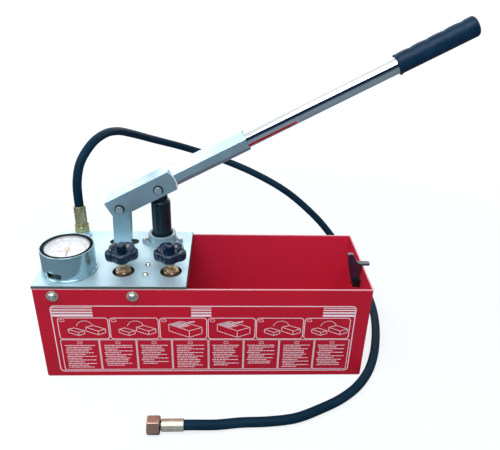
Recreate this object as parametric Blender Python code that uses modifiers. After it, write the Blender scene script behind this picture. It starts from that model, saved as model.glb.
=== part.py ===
"""Hydrostatic test pump: a hand pump on an open sheet-steel water tank.

Metres, +Z up. The origin is the middle of the tank's underside, +X runs along the
tank from the gauge to the lever catch, and -Y is the tank's printed side.
"""
import math

import bmesh
import bpy
from mathutils import Matrix, Vector

OBJECT_NAME = "hydrostatic_test_pump"

# Gaps, cutter overrun and the fineness of round forms
CLEAR = 0.0003
OVERRUN = 0.002
MERGE = 0.00002
FINE_SIDES = 36
ROUND_SIDES = 24
BORE_SIDES = 28
SMALL_SIDES = 12
HEX_SIDES = 6
CORNER_STEPS = 3

# Tank: folded sheet, open on top
TANK_LENGTH = 0.500
TANK_WIDTH = 0.170
TANK_HEIGHT = 0.167
TANK_WALL = 0.002
TANK_BEND = 0.003

# Deck: a plate on the rim with a tray of flanges inside the tank
DECK_THICK = 0.0047
DECK_EDGE = 0.0022
DECK_BEYOND_VALVE = 0.026
TRAY_DEPTH = 0.030
TRAY_THICK = 0.003
TRAY_END_GAP = 0.002
TRAY_BEND_OUT = 0.0042
TRAY_BEND_IN = 0.0012

# Deck bolts: two on each long side, with a washer outside and a nut inside
BOLT_FIRST = 0.029
BOLT_SPACING = 0.1153
BOLT_BELOW_RIM = 0.012
BOLT_RADIUS = 0.0039
BOLT_HEAD_RADIUS = 0.00675
BOLT_HEAD_HEIGHT = 0.0044
BOLT_SOCKET_FLATS = 0.005
BOLT_SOCKET_DEPTH = 0.0025
BOLT_PROUD = 0.001
WASHER_RADIUS = 0.0087
WASHER_THICK = 0.0016
NUT_FLATS = 0.013
NUT_HEIGHT = 0.0065

# Valves: a block under the deck with two needle valves through it
VALVE_FIRST = 0.1255
VALVE_SPACING = 0.0715
VALVE_INSET = 0.041
VALVE_HOLE_RADIUS = 0.0165
BLOCK_HEIGHT = 0.030
BLOCK_END = 0.019
BLOCK_FRONT = 0.019
BLOCK_BACK = 0.030
BLOCK_EDGE = 0.001
VALVE_BORE_RADIUS = 0.0063
VALVE_BORE_DEPTH = 0.0225
PACKING_FLATS = 0.022
PACKING_HEX_HEIGHT = 0.008
PACKING_NECK_RADIUS = 0.0075
PACKING_NECK_HEIGHT = 0.004
STEM_RADIUS = 0.004
THREAD_LENGTH = 0.014
CONE_TIP_RADIUS = 0.001
CONE_HEIGHT = 0.0035
STEM_COLLAR_RADIUS = 0.0058
STEM_COLLAR_RISE = 0.0042
STEM_COLLAR_HEIGHT = 0.006
STEM_COLLAR_GROOVE = 0.0008
STEM_COLLAR_RIBS = 2

# Star knobs and their caps
KNOB_RADIUS = 0.02465
KNOB_NOTCH = 0.0038
KNOB_LOBES = 5
KNOB_LOBE_STEPS = 6
KNOB_HUB_RADIUS = 0.009
KNOB_HUB_HEIGHT = 0.0072
KNOB_THICK = 0.014
KNOB_EDGE = 0.0022
KNOB_DISH_RADIUS = 0.0172
KNOB_DISH_FLOOR = 0.0105
KNOB_DISH_DEPTH = 0.0055
KNOB_CAP_RADIUS = 0.0071
KNOB_CAP_HEIGHT = 0.0142
KNOB_CAP_DOME = 0.0024
LEFT_KNOB_TURN = 9.0
RIGHT_KNOB_TURN = 0.0

# Two pan head screws hold the valve block to the deck
BODY_SCREW_SHIFT = 0.0015
BODY_SCREW_BACK = 0.0195
BODY_SCREW_SPACING = 0.0283
BODY_SCREW_RADIUS = 0.0025
BODY_SCREW_HEAD_RADIUS = 0.00475
BODY_SCREW_HEAD_HEIGHT = 0.0032
BODY_SCREW_DEPTH = 0.013
BODY_SCREW_SLOT = 0.0011

# Gauge in its cup, on a stem through the deck
GAUGE_FROM_LEFT = 0.044
GAUGE_INSET = 0.048
CUP_RADIUS = 0.0393
CUP_WALL = 0.0015
CUP_FLOOR = 0.0025
CUP_HEIGHT = 0.0397
CUP_FOOT_RADIUS = 0.0413
CUP_FOOT_HEIGHT = 0.002
CUP_SLOT_AZIMUTH = -109.0
CUP_SLOT_WIDTH = 0.0235
CUP_SLOT_HEIGHT = 0.009
CUP_SLOT_RISE = 0.0042
CASE_RADIUS = 0.0343
CASE_WALL = 0.0012
CASE_FLOOR = 0.002
CASE_HEIGHT = 0.0359
CASE_STEP = 0.0009
SEAL_HEIGHT = 0.0083
GLASS_THICK = 0.002
GLASS_BELOW_RIM = 0.0007
DIAL_THICK = 0.0008
DIAL_BELOW_GLASS = 0.006
GAUGE_STEM_RADIUS = 0.006
GAUGE_STEM_BELOW_DECK = 0.021
GAUGE_SHOULDER_RADIUS = 0.009
GAUGE_SHOULDER_HEIGHT = 0.0126
GAUGE_NUT_FLATS = 0.019
GAUGE_NUT_HEIGHT = 0.008
MOVEMENT_RADIUS = 0.012
BOURDON_RADIUS = 0.024
BOURDON_TUBE_RADIUS = 0.0026
BOURDON_SWEEP = 250.0
BOURDON_RISE_SHARE = 0.35
BOURDON_POINTS = 22
ARBOR_RADIUS = 0.0008
ARBOR_DEPTH = 0.006
HUB_RADIUS = 0.004
HUB_HEIGHT = 0.0053
NEEDLE_LENGTH = 0.0262
NEEDLE_TAIL = 0.0085
NEEDLE_WIDTH = 0.0022
NEEDLE_THICK = 0.0008
NEEDLE_REST_AZIMUTH = -84.0

# Piston line: collar, screws and wiper on the deck, cylinder under it
PISTON_BEFORE_VALVE = 0.0225
LINE_INSET = 0.038
PISTON_RADIUS = 0.0155
GUIDE_RADIUS = 0.0225
GUIDE_HEIGHT = 0.018
GUIDE_LIP = 0.0012
GUIDE_FLANGE_RADIUS = 0.024
GUIDE_FLANGE_THICK = 0.0047
GUIDE_EAR_RADIUS = 0.005
GUIDE_EAR_REACH = 0.0285
GUIDE_SCREW_RADIUS = 0.0024
GUIDE_SCREW_HEAD_RADIUS = 0.0036
GUIDE_SCREW_HEAD_HEIGHT = 0.0028
GUIDE_SCREW_DEPTH = 0.007
GUIDE_SHOULDER = 0.004
WIPER_WALL = 0.0012
WIPER_PROUD = 0.0012
CYLINDER_RADIUS = 0.0215
CYLINDER_BORE_RADIUS = 0.0166
CYLINDER_FLANGE_THICK = 0.008
CYLINDER_BOTTOM = 0.0343
FOOT_BOTTOM = 0.018
FOOT_SPIGOT_HEIGHT = 0.0057
FOOT_CHAMBER_RADIUS = 0.009
FOOT_PORT_RADIUS = 0.004
FOOT_SEAT_RISE = 0.004
BALL_RADIUS = 0.006
STRAINER_RADIUS = 0.014
STRAINER_WALL = 0.0014
STRAINER_BOTTOM = 0.004
STRAINER_SLOT_WIDTH = 0.0026
STRAINER_SLOT_HEIGHT = 0.007
STRAINER_SLOTS = 3

# Piston, hung on the lever's front pin
PIN_ABOVE_DECK = 0.1025
PISTON_SHOULDER = 0.0255
PISTON_CONE = 0.003
NECK_RADIUS = 0.0115
PISTON_BELOW_PIN = 0.1745
SPIGOT_RADIUS = 0.006
SPIGOT_LENGTH = 0.0155
SEAL_RING_WALL = 0.0003
SEAL_RING_HEIGHT = 0.0074
RETAINER_FLATS = 0.020
RETAINER_HEIGHT = 0.006
DOME_STEPS = 5

# Lever: a folded fork and socket, a chromed tube and a grip
LEVER_ANGLE = 28.4
PIN_SPACING = 0.0705
PIN_RADIUS = 0.006
PIN_PROUD = 0.004
PIN_GROOVE = 0.0011
CLIP_THICK = 0.0012
CLIP_RADIUS = 0.0085
CLIP_OPENING = 50.0
FORK_WIDTH = 0.040
FORK_WALL = 0.004
FORK_BACK = 0.0165
FORK_FRONT = 0.028
FORK_TOP = 0.020
FORK_BOTTOM = 0.0124
FORK_CORNER = 0.0012
TUBE_RISE = 0.0035
TUBE_RADIUS = 0.0125
TUBE_WALL = 0.002
SOCKET_START = 0.036
SOCKET_BORE_START = 0.040
SOCKET_END = 0.156
SOCKET_EDGE = 0.0002
# Each section: half width, side top, top, half of top flat, side bottom, bottom, half of bottom flat
SOCKET_NEAR_SHARES = (1.28, 0.48, 1.40, 0.48, -0.45, -1.15, 0.48)
SOCKET_FAR_SHARES = (1.28, 0.48, 1.27, 0.34, -0.62, -1.18, 0.48)
GRIP_START = 0.399
GRIP_LENGTH = 0.1197
GRIP_RADIUS = 0.0146
GRIP_SWELL = 0.0012
GRIP_LIP = 0.0012
GRIP_LIP_LENGTH = 0.003
GRIP_END_WALL = 0.0137
GRIP_END_ROUND = 0.005
GRIP_WAVE_LENGTH = 0.025
GRIP_WAVE_STEPS = 5
GRIP_WAVE_POWER = 0.6
GRIP_SIDES = 20
BOSS_RADIUS = 0.0095
PIN_HEAD_RADIUS = 0.0085
PIN_HEAD_HEIGHT = 0.003

# Link from the lever's back pin down through the deck to the fulcrum
LINK_LENGTH = 0.110
LINK_WIDTH = 0.029
LINK_THICK = 0.014
LINK_TILT = 2.5
LINK_SLOT_LENGTH = 0.0484
LINK_SLOT_WIDTH = 0.018
LINK_SLOT_SHIFT = 0.0019
FULCRUM_PIN_RADIUS = 0.005
BRACKET_CHEEK_THICK = 0.005
BRACKET_CHEEK_GAP = 0.001
BRACKET_TOP_THICK = 0.005
BRACKET_MARGIN = 0.0045
BRACKET_SIDE = 0.0015
BRACKET_WINDOW_WIDTH = 0.0195
BRACKET_WINDOW_HEIGHT = 0.015
BRACKET_WINDOW_SHIFT = 0.0025
BRACKET_WINDOW_RISE = 0.0014
BRACKET_RIM = 0.008
BRACKET_CORNER = 0.003
FULCRUM_PIN_PROUD = 0.0015

# Copper pipes under the deck
PIPE_RADIUS = 0.003
TRANSFER_PIPE_RADIUS = 0.004
PIPE_BEND = 0.009
PIPE_BEND_STEPS = 4
TRANSFER_PORT_RISE = 0.018
TRANSFER_PORT_INSET = 0.012
PIPE_BELOW_DECK = 0.0173
OUTLET_PIPE_PORT_INSET = 0.008
OUTLET_PIPE_LANE = 0.0365
GAUGE_PIPE_RISE = 0.004

# Outlet on the deck and the hose with its fittings
OUTLET_FROM_LEFT = 0.038
OUTLET_FROM_BACK = 0.017
OUTLET_BASE_RADIUS = 0.0145
OUTLET_BASE_HEIGHT = 0.004
OUTLET_STEP_RADIUS = 0.012
OUTLET_STEP_HEIGHT = 0.0047
OUTLET_NECK_RADIUS = 0.0072
OUTLET_NECK_HEIGHT = 0.007
OUTLET_STEM_RADIUS = 0.0065
OUTLET_STEM_DEPTH = 0.0033
HOSE_NUT_FLATS = 0.022
HOSE_NUT_HEX_HEIGHT = 0.0112
HOSE_NUT_CONE_HEIGHT = 0.0035
HOSE_NUT_CONE_RADIUS = 0.0101
HOSE_NUT_TURN = 12.0
FERRULE_RADIUS = 0.0094
FERRULE_FLUTE = 0.0007
FERRULE_FLUTES = 8
FERRULE_FLUTE_STEPS = 5
FERRULE_LENGTH = 0.0317
FERRULE_RIM = 0.002
HOSE_RADIUS = 0.00725
HOSE_SPACING = 0.030
ROUTE_STEPS = 12
FAR_FERRULE_RADIUS = 0.0087
FAR_FERRULE_LENGTH = 0.032
FAR_FERRULE_EDGE = 0.001
FAR_NECK_RADIUS = 0.0065
FAR_NECK_GAP = 0.0018
FAR_NUT_FLATS = 0.024
FAR_NUT_LENGTH = 0.0174
FAR_NUT_CHAMFER = 0.0016
FAR_NUT_BORE_RADIUS = 0.0088
FAR_NUT_END_WALL = 0.0045
FAR_HEAD_RADIUS = 0.0084
FAR_HEAD_LENGTH = 0.006
FAR_TAIL_BORE_RADIUS = 0.003

# Lever catch on the right end wall
CATCH_FROM_END = 0.0094
CATCH_Y = -0.013
CATCH_PIVOT_BELOW_RIM = 0.033
CATCH_THICK = 0.007
CATCH_HEIGHT = 0.053
CATCH_REACH = 0.0172
CATCH_BOSS_RADIUS = 0.0039
CATCH_PIN_RADIUS = 0.0018
# Outline above the pivot boss: shares of the reach (+X) and of the height (+Z)
CATCH_OUTLINE_SHARES = (
    (0.225, 0.000), (0.225, 0.200), (0.375, 0.400), (0.375, 0.600), (0.225, 0.640), (0.050, 0.700),
    (-0.160, 0.790), (-0.330, 0.890), (-0.490, 0.990), (-0.620, 1.000), (-0.980, 1.000), (-1.020, 0.920),
    (-0.860, 0.660), (-0.650, 0.420), (-0.226, 0.040),
)
CATCH_TAB_START = 0.001
CATCH_TAB_BEYOND_WALL = 0.010
CATCH_TAB_THICK = 0.0037
CATCH_TAB_DEPTH = 0.010
CATCH_PLATE_THICK = 0.0025
CATCH_PLATE_WIDTH = 0.014
CATCH_PLATE_HEIGHT = 0.015
CATCH_PLATE_DROP = 0.0065
CATCH_CHEEK_THICK = 0.0022
CATCH_CHEEK_REACH = 0.0048

# The hose's route: up from the outlet, back over the pump's far side, down to the floor,
# round the tank's right end and along its front to the far fitting
HOSE_ROUTE = (
    (-0.212, 0.068, 0.2283),
    (-0.212, 0.068, 0.245),
    (-0.2105, 0.0705, 0.272),
    (-0.205, 0.081, 0.298),
    (-0.191, 0.111, 0.320),
    (-0.177, 0.149, 0.325),
    (-0.164, 0.186, 0.318),
    (-0.151, 0.221, 0.304),
    (-0.115, 0.285, 0.271),
    (-0.057, 0.331, 0.239),
    (0.018, 0.338, 0.212),
    (0.093, 0.326, 0.184),
    (0.163, 0.310, 0.148),
    (0.224, 0.288, 0.101),
    (0.251, 0.274, 0.074),
    (0.274, 0.255, 0.047),
    (0.294, 0.227, 0.026),
    (0.307, 0.191, 0.014),
    (0.313, 0.151, 0.0090),
    (0.314, 0.110, 0.0075),
    (0.311, 0.071, 0.0075),
    (0.304, 0.030, 0.0075),
    (0.294, -0.009, 0.0075),
    (0.281, -0.047, 0.0075),
    (0.263, -0.084, 0.0075),
    (0.238, -0.117, 0.0075),
    (0.207, -0.143, 0.0075),
    (0.171, -0.163, 0.0075),
    (0.134, -0.179, 0.0075),
    (0.094, -0.185, 0.0075),
    (0.054, -0.1865, 0.0075),
    (0.018, -0.1915, 0.0090),
    (-0.0115, -0.194, 0.012),
    (-0.0264, -0.194, 0.012),
)

# Finishes: sRGB colour, metallic, roughness
FINISHES = {
    "red_enamel": ((158, 27, 44), 0.0, 0.35),
    "zinc_plate": ((205, 222, 226), 0.8, 0.4),
    "grey_cast": ((120, 145, 155), 0.6, 0.45),
    "steel": ((190, 195, 198), 1.0, 0.3),
    "chrome": ((225, 228, 232), 1.0, 0.08),
    "brass": ((186, 142, 84), 1.0, 0.3),
    "yellow_zinc": ((160, 158, 112), 0.9, 0.35),
    "copper": ((176, 104, 76), 1.0, 0.35),
    "black_plastic": ((24, 28, 38), 0.0, 0.35),
    "black_oxide": ((28, 30, 36), 0.5, 0.45),
    "black_rubber": ((26, 27, 32), 0.0, 0.6),
    "dial_white": ((240, 240, 240), 0.0, 0.5),
    "glass": ((235, 240, 242), 0.0, 0.05),
}

# Places that follow from the sizes above
TANK_LEFT = -TANK_LENGTH / 2
TANK_RIGHT = TANK_LENGTH / 2
TANK_FRONT = -TANK_WIDTH / 2
TANK_BACK = TANK_WIDTH / 2
DECK_UNDER = TANK_HEIGHT + CLEAR
DECK_TOP = DECK_UNDER + DECK_THICK
ON_DECK = DECK_TOP + CLEAR
UNDER_DECK = DECK_UNDER - CLEAR
LEFT_VALVE_X = TANK_LEFT + VALVE_FIRST
RIGHT_VALVE_X = LEFT_VALVE_X + VALVE_SPACING
VALVE_Y = TANK_FRONT + VALVE_INSET
DECK_RIGHT = RIGHT_VALVE_X + DECK_BEYOND_VALVE
TRAY_OUT_Y = TANK_BACK - TANK_WALL - CLEAR
BOLT_Z = TANK_HEIGHT - BOLT_BELOW_RIM
BOLT_XS = (TANK_LEFT + BOLT_FIRST, TANK_LEFT + BOLT_FIRST + BOLT_SPACING)
BLOCK_LEFT = LEFT_VALVE_X - BLOCK_END
BLOCK_RIGHT = RIGHT_VALVE_X + BLOCK_END
BLOCK_REAR_Y = VALVE_Y + BLOCK_BACK
BLOCK_BOTTOM = UNDER_DECK - BLOCK_HEIGHT
PACKING_TOP = UNDER_DECK + CLEAR + PACKING_HEX_HEIGHT + PACKING_NECK_HEIGHT
KNOB_BOTTOM = PACKING_TOP + STEM_COLLAR_RISE + STEM_COLLAR_HEIGHT + CLEAR
KNOB_TOP = KNOB_BOTTOM + KNOB_HUB_HEIGHT + KNOB_THICK
KNOB_DISH_Z = KNOB_TOP - KNOB_DISH_DEPTH
BODY_SCREW_X = (LEFT_VALVE_X + RIGHT_VALVE_X) / 2 - BODY_SCREW_SHIFT
BODY_SCREW_YS = (VALVE_Y + BODY_SCREW_BACK, VALVE_Y + BODY_SCREW_BACK - BODY_SCREW_SPACING)
GAUGE_X = TANK_LEFT + GAUGE_FROM_LEFT
GAUGE_Y = TANK_FRONT + GAUGE_INSET
CUP_FLOOR_TOP = ON_DECK + CUP_FLOOR
CASE_BOTTOM = CUP_FLOOR_TOP + CLEAR
CASE_TOP = CASE_BOTTOM + CASE_HEIGHT
CASE_INNER = CASE_RADIUS - CASE_WALL
GLASS_TOP = CASE_TOP - GLASS_BELOW_RIM
GLASS_BOTTOM = GLASS_TOP - GLASS_THICK
DIAL_TOP = GLASS_BOTTOM - DIAL_BELOW_GLASS
DIAL_BOTTOM = DIAL_TOP - DIAL_THICK
SHOULDER_BOTTOM = CASE_BOTTOM + CASE_FLOOR + CLEAR
SHOULDER_TOP = SHOULDER_BOTTOM + GAUGE_SHOULDER_HEIGHT
LINE_Y = TANK_BACK - LINE_INSET
PISTON_X = RIGHT_VALVE_X - PISTON_BEFORE_VALVE
PIN_Z = DECK_TOP + PIN_ABOVE_DECK
GUIDE_BORE_RADIUS = PISTON_RADIUS + CLEAR + WIPER_WALL + CLEAR
WIPER_BOTTOM = ON_DECK + GUIDE_SHOULDER + CLEAR
FOOT_TOP = CYLINDER_BOTTOM + FOOT_SPIGOT_HEIGHT
LEVER_TURN = math.radians(LEVER_ANGLE)
BACK_PIN_X = PISTON_X - PIN_SPACING * math.cos(LEVER_TURN)
BACK_PIN_Z = PIN_Z - PIN_SPACING * math.sin(LEVER_TURN)
LINK_TURN = math.radians(LINK_TILT)
FULCRUM_X = BACK_PIN_X - LINK_LENGTH * math.sin(LINK_TURN)
FULCRUM_Z = BACK_PIN_Z - LINK_LENGTH * math.cos(LINK_TURN)
LINK_SLOT_X = BACK_PIN_X - (BACK_PIN_Z - DECK_TOP) * math.tan(LINK_TURN) + LINK_SLOT_SHIFT
GRIP_END = GRIP_START + GRIP_LENGTH
TUBE_END = GRIP_END - GRIP_END_WALL
FORK_INNER = FORK_WIDTH / 2 - FORK_WALL
BOSS_LENGTH = 2 * (FORK_INNER - CLEAR)
OUTLET_X = TANK_LEFT + OUTLET_FROM_LEFT
OUTLET_Y = TANK_BACK - OUTLET_FROM_BACK
OUTLET_TOP = ON_DECK + OUTLET_BASE_HEIGHT + OUTLET_STEP_HEIGHT
HOSE_NUT_BOTTOM = OUTLET_TOP + CLEAR
HOSE_NUT_TOP = HOSE_NUT_BOTTOM + HOSE_NUT_HEX_HEIGHT + HOSE_NUT_CONE_HEIGHT
FERRULE_BOTTOM = HOSE_NUT_TOP + CLEAR
FAR_END_X = HOSE_ROUTE[-1][0] - CLEAR
FAR_END_Y = HOSE_ROUTE[-1][1]
FAR_AXIS_Z = FAR_NUT_FLATS / 2
CATCH_X = TANK_RIGHT - CATCH_FROM_END
CATCH_PIVOT_Z = TANK_HEIGHT - CATCH_PIVOT_BELOW_RIM


# Helpers

def make_collection(name):
    """A new collection under the scene's own."""
    group = bpy.data.collections.new(name)
    bpy.context.scene.collection.children.link(group)
    return group


def make_material(name, colour, metallic, roughness):
    """A Principled material from an sRGB colour of 0 to 255."""
    shares = [channel / 255.0 for channel in colour]
    linear = [value / 12.92 if value <= 0.04045 else ((value + 0.055) / 1.055) ** 2.4 for value in shares]
    material = bpy.data.materials.new(name)
    material.use_nodes = True
    shader = material.node_tree.nodes["Principled BSDF"]
    shader.inputs["Base Color"].default_value = (*linear, 1.0)
    shader.inputs["Metallic"].default_value = metallic
    shader.inputs["Roughness"].default_value = roughness
    return material


def put(name, data, at=(0.0, 0.0, 0.0), turn=(0.0, 0.0, 0.0), parent=None):
    """Links an object with this data at a place, with its turn in degrees."""
    thing = bpy.data.objects.new(name, data)
    thing.location = at
    thing.rotation_euler = [math.radians(angle) for angle in turn]
    thing.parent = parent
    PARTS.objects.link(thing)
    return thing


def make_empty(name, at, turn=(0.0, 0.0, 0.0)):
    """An empty that carries pieces on a joint's axis."""
    return put(name, None, at, turn)


def from_form(name, form, **place):
    """An object from a bmesh, which is freed."""
    mesh = bpy.data.meshes.new(name)
    form.to_mesh(mesh)
    form.free()
    return put(name, mesh, **place)


def block(name, xs, ys, zs, edge=0.0, choose=None, **place):
    """A box between two corners, with the chosen edges rounded."""
    form = bmesh.new()
    bmesh.ops.create_cube(form, size=1.0)
    sizes = [high - low for low, high in (xs, ys, zs)]
    middle = [(low + high) / 2 for low, high in (xs, ys, zs)]
    bmesh.ops.scale(form, vec=sizes, verts=form.verts)
    if edge > 0.0:
        edges = [item for item in form.edges if choose is None or choose(item)]
        bmesh.ops.bevel(form, geom=edges, offset=edge, segments=2, profile=0.5, affect="EDGES")
    bmesh.ops.translate(form, vec=middle, verts=form.verts)
    return from_form(name, form, **place)


def on_top(edge):
    """Whether an edge of a block that is still about its middle lies in its upper half."""
    return all(vert.co.z > 0.0 for vert in edge.verts)


def along_top(edge):
    """Whether such an edge lies on top and doesn't run across the block."""
    return on_top(edge) and abs(edge.verts[0].co.y - edge.verts[1].co.y) < MERGE


AXIS_TURNS = {
    "X": Matrix.Rotation(math.pi / 2, 4, "Y"),
    "Y": Matrix.Rotation(math.pi / 2, 4, "X"),
    "Z": Matrix.Identity(4),
}


def rods(name, centres, radius, length, axis="Z", sides=SMALL_SIDES, top_radius=None, **place):
    """Round or six-sided rods along one axis, as one object of separate bodies."""
    form = bmesh.new()
    for centre in centres:
        matrix = Matrix.Translation(centre) @ AXIS_TURNS[axis]
        end_radius = radius if top_radius is None else top_radius
        bmesh.ops.create_cone(
            form, cap_ends=True, segments=sides, radius1=radius, radius2=end_radius, depth=length, matrix=matrix)
    return from_form(name, form, **place)


def hexagon(name, centres, flats, length, axis="Z", **place):
    """Six-sided rods of one width across flats."""
    return rods(name, centres, flats / math.sqrt(3.0), length, axis, HEX_SIDES, **place)


def turned(name, profile, sides=ROUND_SIDES, **place):
    """A turned piece: (radius, height) points down its outer side, closed if it has a bore."""
    mesh = bpy.data.meshes.new(name)
    points = [(radius, 0.0, height) for radius, height in profile]
    edges = [(index, index + 1) for index in range(len(points) - 1)]
    if profile[0][0] > 0.0:
        edges.append((len(points) - 1, 0))
    mesh.from_pydata(points, edges, [])
    thing = put(name, mesh, **place)
    screw = thing.modifiers.new("turn", "SCREW")
    screw.axis = "Z"
    screw.angle = math.tau
    screw.steps = sides
    screw.render_steps = sides
    screw.use_merge_vertices = True
    screw.merge_threshold = MERGE
    return thing


def bake(thing):
    """The object's evaluated shape as a plain mesh object in its place."""
    bpy.context.view_layer.update()
    seen = thing.evaluated_get(bpy.context.evaluated_depsgraph_get())
    mesh = bpy.data.meshes.new_from_object(seen)
    form = bmesh.new()
    form.from_mesh(mesh)
    bmesh.ops.remove_doubles(form, verts=form.verts, dist=MERGE)
    bmesh.ops.recalc_face_normals(form, faces=form.faces)
    form.to_mesh(mesh)
    form.free()
    name = thing.name
    matrix = thing.matrix_world.copy()
    parent = thing.parent
    bpy.data.objects.remove(thing, do_unlink=True)
    solid = put(name, mesh, parent=parent)
    solid.matrix_world = matrix
    return solid


def plate(name, loops, thickness, **place):
    """A flat plate from closed 2D outlines, its thickness centred on its own plane."""
    curve = bpy.data.curves.new(name, "CURVE")
    curve.dimensions = "2D"
    curve.fill_mode = "BOTH"
    curve.extrude = thickness / 2
    for loop in loops:
        spline = curve.splines.new("POLY")
        spline.points.add(len(loop) - 1)
        spline.use_cyclic_u = True
        for point, place_2d in zip(spline.points, loop):
            point.co = (place_2d[0], place_2d[1], 0.0, 1.0)
    return bake(put(name, curve, **place))


def tube(name, points, radius, resolution=2, **place):
    """A round tube or rod along points, with filled ends."""
    curve = bpy.data.curves.new(name, "CURVE")
    curve.dimensions = "3D"
    curve.bevel_depth = radius
    curve.bevel_resolution = resolution
    curve.use_fill_caps = True
    spline = curve.splines.new("POLY")
    spline.points.add(len(points) - 1)
    for point, spot in zip(spline.points, points):
        point.co = (*spot, 1.0)
    return put(name, curve, **place)


def loft(name, rings, **place):
    """A closed solid through rings of as many points each, with flat ends."""
    form = bmesh.new()
    loops = [[form.verts.new(point) for point in ring] for ring in rings]
    for first, second in zip(loops, loops[1:]):
        for index in range(len(first)):
            after = (index + 1) % len(first)
            form.faces.new((first[index], first[after], second[after], second[index]))
    form.faces.new(loops[0])
    form.faces.new(loops[-1])
    bmesh.ops.recalc_face_normals(form, faces=form.faces)
    return from_form(name, form, **place)


def as_cutter(thing):
    """Moves an object to the cutters' collection and hides it from renders."""
    PARTS.objects.unlink(thing)
    CUTTERS.objects.link(thing)
    thing.hide_render = True
    thing.display_type = "WIRE"
    return thing


def combine(target, operation, tools):
    """Adds a Boolean modifier for each tool, which becomes a cutter."""
    for tool in tools:
        boolean = target.modifiers.new(operation.lower(), "BOOLEAN")
        boolean.operation = operation
        boolean.solver = "EXACT"
        boolean.object = as_cutter(tool)
    return target


def cut(target, *tools):
    """Cuts the tools out of the target."""
    return combine(target, "DIFFERENCE", tools)


def join(target, *tools):
    """Joins the tools to the target as one body."""
    return combine(target, "UNION", tools)


def finish(thing, material):
    """Gives the piece its own material."""
    colour, metallic, roughness = FINISHES[material]
    thing.data.materials.clear()
    thing.data.materials.append(make_material(thing.name + "_" + material, colour, metallic, roughness))
    return thing


def arc(centre, radius, start, end, steps):
    """Points of an arc in a plane, its angles in degrees."""
    angles = [math.radians(start + (end - start) * step / steps) for step in range(steps + 1)]
    return [(centre[0] + radius * math.cos(angle), centre[1] + radius * math.sin(angle)) for angle in angles]


def rounded(points, radius, steps, closed=True):
    """The points of a line whose corners are rounded with one radius."""
    spots = [Vector(point) for point in points]
    result = []
    for index, corner in enumerate(spots):
        if not closed and index in (0, len(spots) - 1):
            result.append(corner)
            continue
        before = (spots[index - 1] - corner).normalized()
        after = (spots[(index + 1) % len(spots)] - corner).normalized()
        half = before.angle(after) / 2
        centre = corner + (before + after).normalized() * radius / math.sin(half)
        start = corner + before * radius / math.tan(half) - centre
        end = corner + after * radius / math.tan(half) - centre
        sweep = start.angle(end)
        for step in range(steps + 1):
            share = step / steps
            spot = start * math.sin((1.0 - share) * sweep) + end * math.sin(share * sweep)
            result.append(centre + spot / math.sin(sweep))
    return result


def rectangle(xs, ys):
    """Corner points of a rectangle as a closed loop."""
    return [(xs[0], ys[0], 0.0), (xs[1], ys[0], 0.0), (xs[1], ys[1], 0.0), (xs[0], ys[1], 0.0)]


def stadium(centre, length, width, steps):
    """A slot's outline along X with round ends."""
    radius = width / 2
    half = length / 2 - radius
    right = arc((centre[0] + half, centre[1]), radius, -90.0, 90.0, steps)
    left = arc((centre[0] - half, centre[1]), radius, 90.0, 270.0, steps)
    return right + left


def eared(centre, radius, ear_radius, ear_reach, steps):
    """A two-eared flange: a round middle with a smaller round at each side along X."""
    lean = math.degrees(math.acos((radius - ear_radius) / ear_reach))
    right = (centre[0] + ear_reach, centre[1])
    left = (centre[0] - ear_reach, centre[1])
    loop = arc(right, ear_radius, -lean, lean, steps)
    loop += arc(centre, radius, lean, 180.0 - lean, steps)
    loop += arc(left, ear_radius, 180.0 - lean, 180.0 + lean, steps)
    loop += arc(centre, radius, 180.0 + lean, 360.0 - lean, steps)
    return loop


def smooth_route(points, spacing):
    """Evenly spaced points on a Catmull-Rom curve from the route's second point to its last but one."""
    spots = [Vector(point) for point in points]
    fine = []
    for before, start, end, after in zip(spots, spots[1:], spots[2:], spots[3:]):
        gaps = [(second - first).length ** 0.5 for first, second in ((before, start), (start, end), (end, after))]
        leave = (start - before) / gaps[0] - (end - before) / (gaps[0] + gaps[1]) + (end - start) / gaps[1]
        reach = (end - start) / gaps[1] - (after - start) / (gaps[1] + gaps[2]) + (after - end) / gaps[2]
        for step in range(ROUTE_STEPS):
            t = step / ROUTE_STEPS
            spot = start * (2 * t ** 3 - 3 * t ** 2 + 1) + end * (3 * t ** 2 - 2 * t ** 3)
            spot += (leave * (t ** 3 - 2 * t ** 2 + t) + reach * (t ** 3 - t ** 2)) * gaps[1]
            fine.append(spot)
    fine.append(spots[-2])
    lengths = [0.0]
    for first, second in zip(fine, fine[1:]):
        lengths.append(lengths[-1] + (second - first).length)
    count = max(2, round(lengths[-1] / spacing))
    result = []
    index = 0
    for number in range(count + 1):
        goal = lengths[-1] * number / count
        while index < len(fine) - 2 and lengths[index + 1] < goal:
            index += 1
        share = (goal - lengths[index]) / (lengths[index + 1] - lengths[index])
        result.append(fine[index].lerp(fine[index + 1], share))
    return result


# Tank and deck

def make_tank():
    """A folded sheet box without a lid, with holes for the deck bolts."""
    form = bmesh.new()
    bmesh.ops.create_cube(form, size=1.0)
    bmesh.ops.scale(form, vec=(TANK_LENGTH, TANK_WIDTH, TANK_HEIGHT), verts=form.verts)
    bmesh.ops.translate(form, vec=(0.0, 0.0, TANK_HEIGHT / 2), verts=form.verts)
    lids = [face for face in form.faces if face.normal.z > 0.5]
    bmesh.ops.delete(form, geom=lids, context="FACES_ONLY")
    folds = [edge for edge in form.edges if not edge.is_boundary]
    bmesh.ops.bevel(form, geom=folds, offset=TANK_BEND, segments=2, profile=0.5, affect="EDGES")
    tank = from_form("tank", form)
    sheet = tank.modifiers.new("sheet", "SOLIDIFY")
    sheet.thickness = TANK_WALL
    sheet.offset = -1.0
    sheet.use_even_offset = True
    cut(tank, bolt_holes())
    return finish(tank, "red_enamel")


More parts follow.
